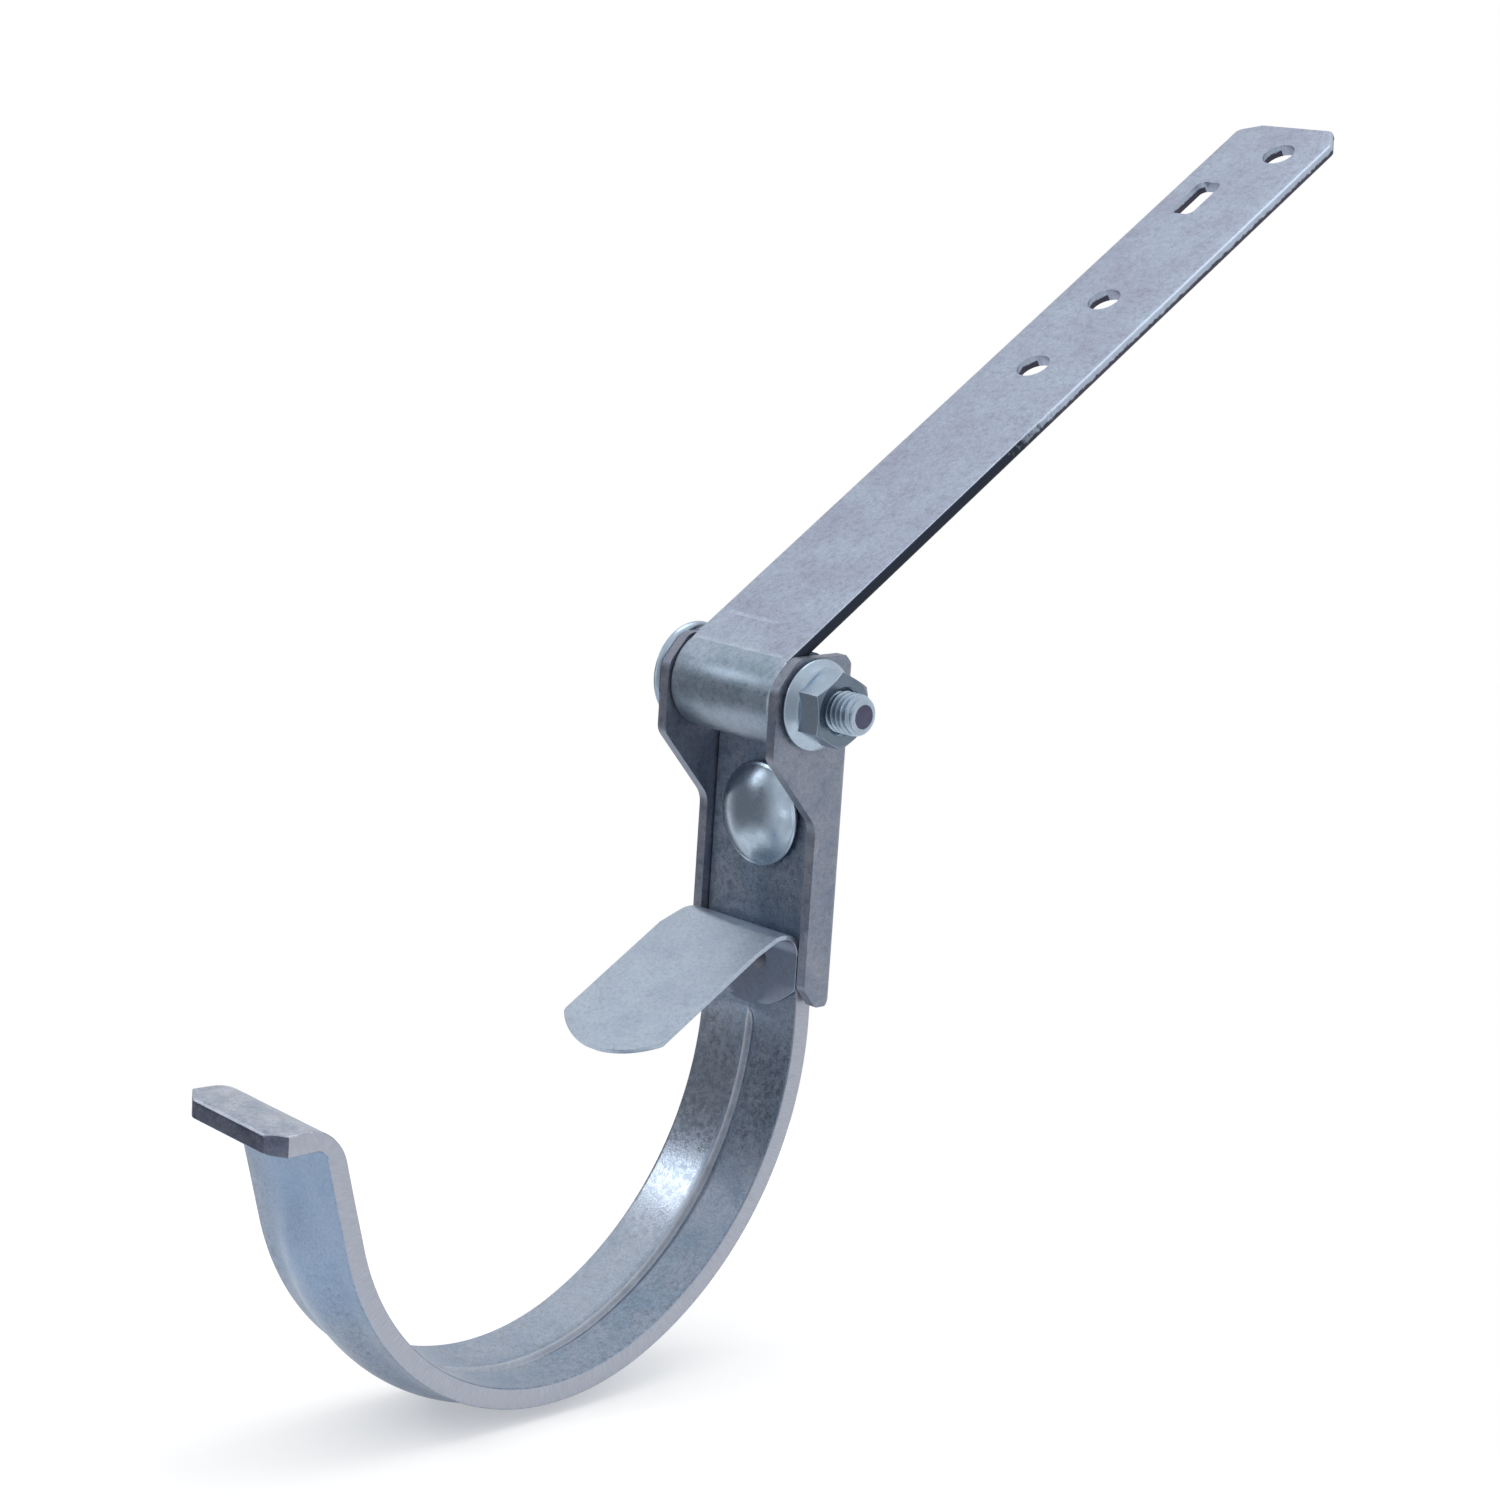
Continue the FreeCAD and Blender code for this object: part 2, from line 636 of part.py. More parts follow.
def flange_nut(turn_deg):
    """Hexagon nut with a round flange, seated on z = 0 and rising to +Z."""
    r = NUT_FLANGE_D / 2
    cone = NUT_CONE_D / 2
    points = [
        V(0, 0, 0),
        V(NUT_SEAT_D / 2, 0, 0),
        V(r, 0, NUT_FLANGE_LOW),
        V(r, 0, NUT_FLANGE_RIM),
        V(cone, 0, NUT_CONE_H),
        V(0, 0, NUT_CONE_H),
    ]
    flange = Part.Face(Part.makePolygon(points + [points[0]])).revolve(V(0, 0, 0), V(0, 0, 1), 360)
    corner = NUT_HEX / math.sqrt(3)
    hexagon = []
    for i in range(6):
        a = math.radians(60 * i + turn_deg)
        hexagon.append(V(corner * math.cos(a), corner * math.sin(a), 0))
    prism_part = polygon_prism(hexagon, V(0, 0, NUT_H))
    slope = math.tan(math.radians(30))
    top = NUT_HEX / 2 - 0.1
    reach = (corner + 1 - top) * slope
    limit = [
        V(0, 0, 0),
        V(corner + 1, 0, 0),
        V(corner + 1, 0, NUT_H - reach),
        V(top, 0, NUT_H),
        V(0, 0, NUT_H),
    ]
    turned = Part.Face(Part.makePolygon(limit + [limit[0]])).revolve(V(0, 0, 0), V(0, 0, 1), 360)
    nut = flange.fuse(prism_part.common(turned))
    hole_r = BOLT_D / 2 + NUT_HOLE_GAP
    mouth = hole_r + NUT_TOP_CHAMFER
    hole = Part.makeCylinder(hole_r, NUT_H + 2, V(0, 0, -1))
    sink_top = Part.makeCone(hole_r, mouth, NUT_TOP_CHAMFER, V(0, 0, NUT_H - NUT_TOP_CHAMFER))
    sink_low = Part.makeCone(mouth, hole_r, NUT_TOP_CHAMFER, V(0, 0, 0))
    return nut.cut(hole).cut(sink_top).cut(sink_low)


def pivot_nut():
    shape = flange_nut(NUT_TURN_DEG)
    shape.rotate(V(0, 0, 0), V(0, 1, 0), 90)
    shape.translate(V(CLEVIS_X + HALF_OUT, PIVOT_Y, PIVOT_Z))
    return shape


def clamp_nut():
    shape = flange_nut(CLAMP_NUT_TURN_DEG)
    shape.rotate(V(0, 0, 0), V(1, 0, 0), -90)
    shape.translate(V(CLAMP_X, WEB_OUT_Y + SEAT_GAP, CLAMP_Z))
    return shape


def pivot_sleeve():
    """Tube on the bolt that fills the eye and keeps the ears apart."""
    outer = Part.makeCylinder(EYE_R - STRAP_T - RUNNING_GAP, CHANNEL_IN_W, V(-HALF_IN, 0, 0), V(1, 0, 0))
    inner = Part.makeCylinder(BOLT_D / 2 + RUNNING_GAP, CHANNEL_IN_W, V(-HALF_IN, 0, 0), V(1, 0, 0))
    shape = outer.cut(inner)
    shape.translate(V(CLEVIS_X, PIVOT_Y, PIVOT_Z))
    return shape


def clip_side_profile():
    """Thin strip seen from the side: base plate, fold and the tab sloping to the front."""
    a = math.radians(CLIP_TAB_DEG)
    y0 = BAR_FACE_Y
    r = CLIP_FOLD_R
    q = r - CLIP_T
    cy = y0 - r
    cz = CLIP_FOLD_TOP_Z - r
    half = (math.pi / 2 + a) / 2

    def on(radius, t):
        # t is measured from the base plate side over the top
        return yz(cy + radius * math.cos(t), cz + radius * math.sin(t))

    out_end = on(r, math.pi / 2 + a)
    in_end = on(q, math.pi / 2 + a)
    run = V(0, -math.cos(a), -math.sin(a)) * CLIP_TAB_L
    return [
        line(yz(y0, CLIP_BOTTOM_Z), on(r, 0)),
        arc(on(r, 0), on(r, half), out_end),
        line(out_end, out_end + run),
        line(out_end + run, in_end + run),
        line(in_end + run, in_end),
        arc(in_end, on(q, half), on(q, 0)),
        line(on(q, 0), yz(y0 - CLIP_T, CLIP_BOTTOM_Z)),
        line(yz(y0 - CLIP_T, CLIP_BOTTOM_Z), yz(y0, CLIP_BOTTOM_Z)),
    ]


def trim_round(shape, tip, direction, normal, radius):
    """Cut a strip end to an arc of this radius whose outermost point is tip."""
    centre = tip - direction * radius
    disc = Part.makeCylinder(radius, 6, centre - normal * 3, normal)
    side = V(1, 0, 0) * 20
    back = tip - direction * radius * 0.6
    front = tip + direction * 5
    start = normal * 3
    corners = [back - side - start, back + side - start, front + side - start, front - side - start]
    block = polygon_prism(corners, normal * 6)
    return shape.cut(block.cut(disc))


def spring_clip():
    face = Part.Face(Part.Wire(clip_side_profile()))
    face.translate(V(CLIP_TAB_LEFT, 0, 0))
    clip = face.extrude(V(CLIP_RIGHT - CLIP_TAB_LEFT, 0, 0))
    slant = [
        V(CLIP_TAB_LEFT - 1, CLIP_SLANT_FRONT_Y, 0),
        V(CLIP_TAB_LEFT, CLIP_SLANT_FRONT_Y, 0),
        V(CLIP_BASE_LEFT, CLIP_SLANT_REAR_Y, 0),
        V(CLIP_BASE_LEFT, BAR_FACE_Y + 1, 0),
        V(CLIP_TAB_LEFT - 1, BAR_FACE_Y + 1, 0),
    ]
    clip = clip.cut(polygon_prism(slant, V(0, 0, 60)))
    base_tip = yz(BAR_FACE_Y, CLIP_BOTTOM_Z, (CLIP_BASE_LEFT + CLIP_RIGHT) / 2)
    clip = trim_round(clip, base_tip, V(0, 0, -1), V(0, 1, 0), CLIP_BASE_END_R)
    a = math.radians(CLIP_TAB_DEG)
    run = V(0, -math.cos(a), -math.sin(a))
    up = V(0, -math.sin(a), math.cos(a))
    fold = V(CLIP_TAB_END_X, BAR_FACE_Y - CLIP_FOLD_R, CLIP_FOLD_TOP_Z - CLIP_FOLD_R)
    tip = fold + up * CLIP_FOLD_R + run * CLIP_TAB_L
    clip = trim_round(clip, tip, run, up, CLIP_TAB_END_R)
    start = V(RIVET_X, BAR_FACE_Y - 3, RIVET_Z)
    hole = Part.makeCylinder(RIVET_D / 2 + RIVET_FIT, 4, start, V(0, 1, 0))
    return clip.cut(hole)


def clip_rivet():
    """Round-head rivet through the clip and the bar, set flush at the back."""
    face_y = BAR_FACE_Y - CLIP_T
    r = RIVET_HEAD_D / 2
    h = RIVET_HEAD_H
    big = (r * r + h * h) / (2 * h)
    t = math.asin(r / big) / 2
    mid = V(big * math.sin(t), 0, h - big + big * math.cos(t))
    edges = [
        line(V(0, 0, 0), V(r, 0, 0)),
        arc(V(r, 0, 0), mid, V(0, 0, h)),
        line(V(0, 0, h), V(0, 0, 0)),
    ]
    head = Part.Face(Part.Wire(edges)).revolve(V(0, 0, 0), V(0, 0, 1), 360)
    length = CLIP_T + BAR_T
    shank = Part.makeCylinder(RIVET_D / 2, length, V(0, 0, -length))
    shape = head.fuse(shank).removeSplitter()
    shape.rotate(V(0, 0, 0), V(1, 0, 0), 90)
    shape.translate(V(RIVET_X, face_y, RIVET_Z))
    return shape


def main():
    save(rafter_strap(), "rafter_strap")
    save(clevis_channel(), "clevis_channel")
    save(pivot_bolt(), "pivot_bolt")
    save(pivot_sleeve(), "pivot_sleeve")
    save(pivot_nut(), "pivot_nut")
    save(clamp_bolt(), "clamp_bolt")
    save(clamp_nut(), "clamp_nut")
    save(gutter_hook(), "gutter_hook")
    save(spring_clip(), "spring_clip")
    save(clip_rivet(), "clip_rivet")


main()
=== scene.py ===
"""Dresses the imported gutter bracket: sheet, strip and fasteners with their zinc finishes."""
import math
from contextlib import contextmanager
from functools import partial

import bmesh
import bpy
from bpy.props import FloatProperty, FloatVectorProperty, IntProperty, PointerProperty
from mathutils import Matrix, Vector


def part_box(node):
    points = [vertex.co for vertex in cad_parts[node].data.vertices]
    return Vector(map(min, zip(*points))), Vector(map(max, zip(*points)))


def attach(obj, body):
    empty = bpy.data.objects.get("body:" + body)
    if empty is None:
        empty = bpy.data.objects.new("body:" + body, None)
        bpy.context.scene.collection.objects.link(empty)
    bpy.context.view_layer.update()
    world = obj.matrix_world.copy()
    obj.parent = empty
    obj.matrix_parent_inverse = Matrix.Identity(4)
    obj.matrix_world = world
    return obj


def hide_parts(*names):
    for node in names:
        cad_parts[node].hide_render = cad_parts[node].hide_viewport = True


bl_info = {
    "name": "Adjustable gutter bracket",
    "version": (1, 0, 0),
    "blender": (4, 5, 0),
    "location": "View3D > Sidebar > Bracket",
    "description": "Builds a half-round gutter bracket with rafter strap, channel, hook and clip",
    "category": "Object",
}

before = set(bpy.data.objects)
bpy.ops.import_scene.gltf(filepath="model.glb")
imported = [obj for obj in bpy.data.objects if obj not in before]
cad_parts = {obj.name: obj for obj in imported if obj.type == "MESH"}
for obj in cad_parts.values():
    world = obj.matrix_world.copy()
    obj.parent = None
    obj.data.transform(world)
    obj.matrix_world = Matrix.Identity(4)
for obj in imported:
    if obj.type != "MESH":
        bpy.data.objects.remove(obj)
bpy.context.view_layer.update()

MM = 0.001


def box_mm(node):
    low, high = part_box(node)
    return low / MM, high / MM


HOOK_LOW, HOOK_HIGH = box_mm("gutter_hook")
CHANNEL_LOW, CHANNEL_HIGH = box_mm("clevis_channel")
RIVET_LOW, RIVET_HIGH = box_mm("clip_rivet")
PIVOT_LOW, PIVOT_HIGH = box_mm("pivot_bolt")
CLAMP_LOW, CLAMP_HIGH = box_mm("clamp_bolt")
SLEEVE_LOW, SLEEVE_HIGH = box_mm("pivot_sleeve")
PIVOT_NUT_LOW = box_mm("pivot_nut")[0]
CLAMP_NUT_LOW = box_mm("clamp_nut")[0]

# The middles of the sleeve, the clamp bolt and the rivet, through which their axes run
PIVOT = (SLEEVE_LOW + SLEEVE_HIGH) / 2
CLAMP = (CLAMP_LOW + CLAMP_HIGH) / 2
RIVET = (RIVET_LOW + RIVET_HIGH) / 2

# Steps of a sheared edge's quarter round, and the angle in degrees below which faces are one
EDGE_STEPS = 3
FLAT_ANGLE = 0.3
# Places across the hook's faces, from 0 to 1, at which its section has points
HOOK_SHARES = sorted([0.02, 0.05, 0.455, 0.98] + [
    start + step * i for start, step, count in
    ((0.08, 0.025, 15), (0.4655, 0.0058, 13), (0.547, 0.0125, 6), (0.645, 0.025, 13))
    for i in range(count)])
# Pressed bead on the hook's outer face: flank in degrees, radii of its crown and shoulders
BEAD_FLANK = 20.0
BEAD_CROWN = 14.0
BEAD_SHOULDER = 7.0
# Groove on its inner face: shares of the depth that the bar's halves and the narrow groove take,
# and where its steep left and slanting right wall start and how wide they are
GROOVE_FALL = 0.16
GROOVE_DEEP = 0.74
LEFT_WALL = (-0.6, 0.8)
RIGHT_WALL = (0.35, 2.1)
# The arm widens in front of ARM_Y, and the lip in front of LIP_Y
ARM_Y = -40.0
LIP_Y = -55.0
# Strap: (across, along) of the screw holes and the nail slot, the slot's corner radius, the cuts
# (across, along) of the tip's right and left corner, and the radius between their edges
SCREW_HOLES = ((-1.65, 94.4), (-1.55, 118.2), (3.25, 173.8))
NAIL_SLOT = (-5.65, 155.6)
SLOT_ROUND = 1.6
TIP_RIGHT = (3.8, 5.6)
TIP_LEFT = (6.0, 2.8)
TIP_ROUND = 1.6
EYE_STEPS = 120
# Marks that the folding tool left across the strap: distance along it, left and right end, and
# how deep, how wide to each side and over what length they fade in and out
PRESS_MARKS = ((1.15, -13.3, 11.5), (9.4, -12.2, 3.5))
MARK_DEPTH = 0.14
MARK_HALF = 0.65
MARK_FADES = (1.5, 3.0)
# Channel seen from the side: (y, z) of its ear's corners with their radii, where None stands for
# the channel's foremost y or highest z; then the flange's front, and how far the web's slot
# reaches above and below the clamp bolt
EAR_OUTLINE = (((57.6, None), 0.8), ((45.2, None), 3.0), ((None, 75.6), 4.0), ((None, 62.2), 3.0),
               ((52.7, 48.4), 5.0))
EAR_REAR_Z = 78.2
FLANGE_FRONT = 52.7
SLOT_UP = 2.0
SLOT_DOWN = 20.0
# Mushroom head: (inwards from its rim, upwards) of the round underside and of the upper rim
HEAD_UNDER = ((2.1, 0.0), (1.7, 0.03), (1.2, 0.13), (0.75, 0.32), (0.4, 0.56), (0.15, 0.84),
              (0.02, 1.1))
HEAD_EDGE = ((0.0, 0.0), (0.04, 0.12), (0.16, 0.26))
# Thread: depth and where its root ends and its crest starts and ends, as shares of the pitch;
# the places on the pitch with points; and the rounded end's length and depth
THREAD_DEPTH = 0.61343
ROOT_END, CREST_START, CREST_END = 0.25, 0.55, 0.70
THREAD_SHARES = (0.0, 0.06, 0.12, 0.19, 0.25, 0.29, 0.40, 0.51, 0.55, 0.59, 0.66, 0.70, 0.74,
                 0.85, 0.96)
END_LENGTH = 1.5
END_DEPTH = 1.6
# Nut flange: (inwards from its rim, upwards) of its rolled edge
FLANGE_EDGE = ((0.25, 0.62), (0.06, 0.82), (0.0, 1.0), (0.03, 1.14), (0.14, 1.3), (0.4, 1.42))
# Distances from a round strip end at which the clip's outline has points, the radius of its
# edges, and that of the rivet's shank
CLIP_STEPS = (0.02, 0.08, 0.2, 0.4, 0.7, 1.1, 1.6, 2.2, 3.0, 4.0, 4.8, 5.4, 6.2, 7.2, 7.9, 8.6)
CLIP_EDGE = 0.18
RIVET_SHANK = 1.5

# Camera of the photograph in this frame, in mm and degrees
CAMERA_PLACE = (481.43, -419.70, 199.75)
CAMERA_AZIMUTH = 45.682
CAMERA_ELEVATION = 11.716
CAMERA_ROLL = 3.777
CAMERA_LENS = 86.4
CAMERA_SENSOR = 36.0
# The studio's unlit wall at the front left and the dim room behind the camera: the direction and
# the soft edge of each, then their level of light
DARK_SIDES = (((-0.70, -0.70, -0.06), ((0.66, 0.0), (0.86, 1.0))),
              ((0.80, -0.60, -0.10), ((0.75, 0.0), (0.93, 0.65))))
WALL_LIGHT = (0.21, 0.21, 0.21 * 1.08, 1.0)
FLOOR_RADIUS = 185.0
FLOOR_GAP = 0.4
# Lamps: place, target, diameter in mm and power in watts
LAMPS = {
    "overhead_softbox": ((100, 250, 900), (0, 40, 60), 600.0, 1.5),
    "high_left_softbox": ((-403, -340, 330), (-7, 43, -27), 150.0, 0.30),
    "front_lamp": ((170, -640, 30), (0, 50, 50), 60.0, 0.06),
}


def mm_prop(name, description, default):
    """A length property, kept in metres."""
    return FloatProperty(name=name, description=description, default=default * MM, unit="LENGTH",
                         precision=4)


def angle_prop(name, description, default):
    return FloatProperty(name=name, description=description, default=math.radians(default),
                         unit="ROTATION")


def srgb(code):
    """Linear colour of an sRGB hex value."""
    out = []
    for i in (0, 2, 4):
        c = int(code[i:i + 2], 16) / 255.0
        out.append(c / 12.92 if c <= 0.04045 else ((c + 0.055) / 1.055) ** 2.4)
    return out[0], out[1], out[2], 1.0


def colour_prop(name, description, code):
    return FloatVectorProperty(name=name, description=description, subtype="COLOR", size=4, min=0,
                               max=1, default=srgb(code))


class HookSizes(bpy.types.PropertyGroup):
    """Flat bar bent to the gutter's half round, with a bead along it"""
    thickness: mm_prop("Bar thickness", "Thickness of the flat bar", 4.0)
    width: mm_prop("Bar width", "Width of the flat bar", 26.1)
    face_y: mm_prop("Back face", "The straight face's distance from the seat's centre", 54.4)
    arc_start_z: mm_prop("Arc start", "Height at which the bar starts to bend", 8.8)
    rear_radius: mm_prop("Rear radius", "Inner radius of the arc at the back", 61.9)
    rear_angle: angle_prop("Rear angle", "How far the rear arc turns", 65.9)
    front_radius: mm_prop("Front radius", "Inner radius of the arc in front", 47.7)
    end_angle: angle_prop("End angle", "Turning angle at which the arm is straight", 164.5)
    lip_top: mm_prop("Lip height", "Height of the lip's upper face", 7.8)
    lip_bend_radius: mm_prop("Lip bend", "Radius of the bend on the lip's upper side", 10.0)
    lip_under_radius: mm_prop("Lip inner bend", "Radius of the bend under the lip", 3.0)
    lip_width: mm_prop("Lip width", "Greatest width of the lip", 28.3)
    lip_root_width: mm_prop("Lip root width", "Width where the arm meets the lip", 26.6)
    chamfer_x: mm_prop("Corner cut across", "The lip's corner cut across its width", 3.6)
    chamfer_y: mm_prop("Corner cut along", "The lip's corner cut along it", 2.6)
    flare_start_z: mm_prop("Flare start", "Height at which the arm starts to widen", -12.0)
    top_round: mm_prop("Top corner round", "Radius of the bar's two top corners", 1.2)
    groove_depth: mm_prop("Groove depth", "Depth of the bead on the inner face", 1.7)
    rise_height: mm_prop("Rise height", "Height of the bead on the outer face", 2.3)
    bead_start: angle_prop("Bead start", "Turning angle at which the bead begins", 0.4)
    bead_run_in: mm_prop("Bead run-in", "Length of the bead's rounded start", 4.5)
    bead_run_out: mm_prop("Bead run-out", "Length over which the bead fades", 15.0)
    edge: mm_prop("Edge round", "Radius of the sheared bar's edges", 0.35)
    lip_nose: mm_prop("Lip nose", "Radius of the upper edge at the lip's front", 1.1)
    lip_tilt: angle_prop("Lip tilt", "How far the bent lip leans to the right", 2.1)


class StrapSizes(bpy.types.PropertyGroup):
    """Flat strip rolled to an eye at its lower end"""
    thickness: mm_prop("Strip thickness", "Thickness of the strip", 2.5)
    width: mm_prop("Strip width", "Width of the strip", 27.3)
    eye_radius: mm_prop("Eye radius", "Outer radius of the rolled eye", 9.45)
    length: mm_prop("Length", "Distance from the pivot to the tip along the strap", 184.2)
    pitch: angle_prop("Pitch", "Slope of the strap at rest", 33.3)
    seam: angle_prop("Seam", "Opening between the rolled end and the strap", 50.0)
    hole: mm_prop("Hole diameter", "Diameter of the three screw holes", 7.0)
    slot_width: mm_prop("Slot width", "Width of the nail slot", 6.0)
    slot_length: mm_prop("Slot length", "Length of the nail slot", 11.8)
    edge: mm_prop("Edge round", "Radius of the sheared strip's edges", 0.8)


class ChannelSizes(bpy.types.PropertyGroup):
    """Sheet folded to a channel with two ears"""
    sheet: mm_prop("Sheet thickness", "Thickness of the folded sheet", 2.2)
    fold_out: mm_prop("Outer fold radius", "Outer radius of the folds", 2.4)
    fold_in: mm_prop("Inner fold radius", "Inner radius of the folds", 0.15)
    web_top: mm_prop("Web height", "Height at which the web between the ears ends", 57.0)
    slot_half: mm_prop("Slot half width", "Half width of the slot in the web", 4.7)
    bolt_hole: mm_prop("Bolt hole", "Diameter of the hole in the right ear", 8.4)
    edge: mm_prop("Edge round", "Radius of the cut edges", 0.25)


class ClipSizes(bpy.types.PropertyGroup):
    """Thin spring strip with a base plate, a fold and a tab"""
    thickness: mm_prop("Strip thickness", "Thickness of the spring strip", 1.0)
    tab_left: mm_prop("Tab left edge", "Left edge of the tab", -15.1)
    base_left: mm_prop("Base left edge", "Left edge of the base plate", -12.6)
    right: mm_prop("Tab right edge", "Right edge of the tab", 12.4)
    base_right: mm_prop("Base right edge", "Right edge of the base plate", 13.5)
    slant_front: mm_prop("Slant front", "Where the tab's left edge starts to slant in", 43.7)
    slant_rear: mm_prop("Slant rear", "Where the slant reaches the base plate's edge", 50.2)
    bottom: mm_prop("Base bottom", "Height of the base plate's lowest point", 10.0)
    fold_radius: mm_prop("Fold radius", "Outer radius of the fold", 4.5)
    fold_top: mm_prop("Fold top", "Height of the top of the fold", 26.8)
    tab_angle: angle_prop("Tab slope", "Slope of the tab below the level", 31.0)
    tab_length: mm_prop("Tab length", "Length of the tab beyond the fold", 37.8)
    base_end_radius: mm_prop("Base end radius", "Radius of the base's round end", 18.2)
    tab_end_radius: mm_prop("Tab end radius", "Radius of the tab's round end", 19.0)
    tab_end_x: mm_prop("Tab end middle", "Where across its width the tab is longest", -1.5)


class FastenerSizes(bpy.types.PropertyGroup):
    """M8 bolts with mushroom heads and flange nuts"""
    bolt: mm_prop("Bolt diameter", "Outer diameter of the thread", 8.0)
    pitch: mm_prop("Thread pitch", "Distance between two turns of the thread", 1.25)
    head: mm_prop("Head diameter", "Diameter of the mushroom head", 20.35)
    head_height: mm_prop("Head height", "Height of the mushroom head", 4.6)
    head_rim: mm_prop("Head rim", "Height of the head's upright rim", 1.2)
    neck: mm_prop("Neck width", "Width of the square neck", 8.0)
    neck_gap: mm_prop("Neck clearance", "Clearance round the square neck", 0.2)
    hexagon: mm_prop("Hexagon", "Width across the nut's flats", 13.0)
    nut_height: mm_prop("Nut height", "Height of the nut", 8.0)
    flange: mm_prop("Flange diameter", "Diameter of the nut's flange", 17.5)
    flange_seat: mm_prop("Flange seat", "Diameter of the flange's bearing face", 15.6)
    sleeve_bore: mm_prop("Sleeve bore", "Inner radius of the sleeve in the eye", 4.05)
    steps: IntProperty(name="Steps round", description="Steps round a bolt head", default=96,
                       min=24)


class ZincColours(bpy.types.PropertyGroup):
    """Colours of the zinc finishes"""
    strap: colour_prop("Strap", "Dipped zinc of the strap", "ABB8CA")
    strap_tint: colour_prop("Strap patches", "Fainter patches in the strap's zinc", "A2A8BE")
    strap_eye: colour_prop("Rolled eye", "Zinc of the rolled eye", "8FA1B0")
    strap_edge: colour_prop("Strap edge", "Broken part of the strap's sheared edge", "4A4A58")
    strap_mark: colour_prop("Press marks", "Burnished marks of the folding tool", "BAC5D4")
    # painted shade: a dark colour on the strap's side near the eye, under the eye and right of the
    # hook's groove
    painted_shade: colour_prop("Oil stain", "Dark drawing oil left by the tools", "242C3A")
    channel: colour_prop("Channel", "Dipped zinc of the channel", "9196A3")
    channel_tint: colour_prop("Channel patches", "Darker patches in the channel", "7C8698")
    hook: colour_prop("Hook", "Dipped zinc of the hook", "9AA5B6")
    hook_tint: colour_prop("Hook patches", "Bluer patches in the hook's zinc", "8496AC")
    # painted highlight on the hook's left half
    hook_painted_highlight: colour_prop("Rubbed zinc", "Zinc that the gutter rubbed bright", "C2CAD6")
    hook_blue: colour_prop("Hook blue zinc", "Bluish zinc on the front arm", "7FA3CC")
    # painted highlight along the groove's steep wall
    hook_groove_highlight: colour_prop("Groove wall", "Zinc rubbed bright along the groove", "C6CEDA")
    hook_edge: colour_prop("Hook edge", "Sheared edge of the hook", "A9AEBB")
    # painted light on the lip's upward faces
    lip: colour_prop("Lip top", "Thick zinc on the lip", "B6BCC8")
    # painted shade on the lip's dull sheared end
    lip_end_shade: colour_prop("Lip front", "Sheared end of the bar", "767C8E")
    lip_end_shade_tint: colour_prop("Lip front patches", "Darker patches of the end", "585E72")
    clip: colour_prop("Clip", "Matt zinc of the spring clip", "B4C1D0")
    # painted shade on the clip's inner side
    clip_inner_shade: colour_prop("Clip inner side", "Inner side of the spring clip", "748397")
    bright: colour_prop("Bright zinc", "Electro-plated zinc of bolts and nuts", "A6B7C8")
    # painted shade on the nuts' outer faces
    nut_face: colour_prop("Nut face", "Turned outer face of the nuts", "6C7A88")
    bolt_end: colour_prop("Bolt end", "Sheared end of the bolt", "55576C")
    rivet: colour_prop("Rivet", "Dull steel of the rivet", "6A6E7A")
    floor: colour_prop("Floor", "Pale studio floor", "E6E6E6")


class BracketSettings(bpy.types.PropertyGroup):
    """All sizes and colours of the bracket"""
    hook: PointerProperty(type=HookSizes, name="Hook")
    strap: PointerProperty(type=StrapSizes, name="Strap")
    channel: PointerProperty(type=ChannelSizes, name="Channel")
    clip: PointerProperty(type=ClipSizes, name="Clip")
    fasteners: PointerProperty(type=FastenerSizes, name="Fasteners")
    colours: PointerProperty(type=ZincColours, name="Colours")


def settings():
    return bpy.context.scene.bracket


def mm_values(key):
    """A group's lengths in mm, its angles and other values as they are."""
    group = getattr(settings(), key)
    values = {}
    for name, item in group.bl_rna.properties.items():
        if item.type == "FLOAT" and item.unit == "LENGTH":
            values[name] = getattr(group, name) / MM
        elif name not in ("rna_type", "name"):
            values[name] = getattr(group, name)
    return values


# Mesh helpers: all of them take millimetres

def new_object(name, verts, faces):
    mesh = bpy.data.meshes.new(name)
    mesh.from_pydata([Vector(v) * MM for v in verts], [], faces)
    mesh.validate()
    obj = bpy.data.objects.new(name, mesh)
    bpy.context.scene.collection.objects.link(obj)
    mesh.shade_smooth()
    return obj


@contextmanager
def mesh_edit(obj):
    """Opens an object's mesh for editing and writes it back."""
    bm = bmesh.new()
    bm.from_mesh(obj.data)
    yield bm
    bm.to_mesh(obj.data)
    bm.free()


def tidy_mesh(obj, merge=0.0005):
    """Merges double vertices and points all faces outwards."""
    with mesh_edit(obj) as bm:
        bmesh.ops.remove_doubles(bm, verts=bm.verts, dist=merge * MM)
        bmesh.ops.dissolve_degenerate(bm, edges=bm.edges, dist=merge * MM / 2)
        bmesh.ops.recalc_face_normals(bm, faces=bm.faces)
    return obj


def apply_modifiers(obj):
    graph = bpy.context.evaluated_depsgraph_get()
    result = bpy.data.meshes.new_from_object(obj.evaluated_get(graph),
                                             preserve_all_data_layers=True, depsgraph=graph)
    old = obj.data
    obj.modifiers.clear()
    obj.data = result
    result.name = obj.name
    bpy.data.meshes.remove(old)


def combine(obj, other, operation="DIFFERENCE"):
    """Boolean of two objects; the second one is used up."""
    modifier = obj.modifiers.new("cut", "BOOLEAN")
    modifier.object = other
    modifier.operation = operation
    modifier.solver = "EXACT"
    apply_modifiers(obj)
    bpy.data.objects.remove(other)


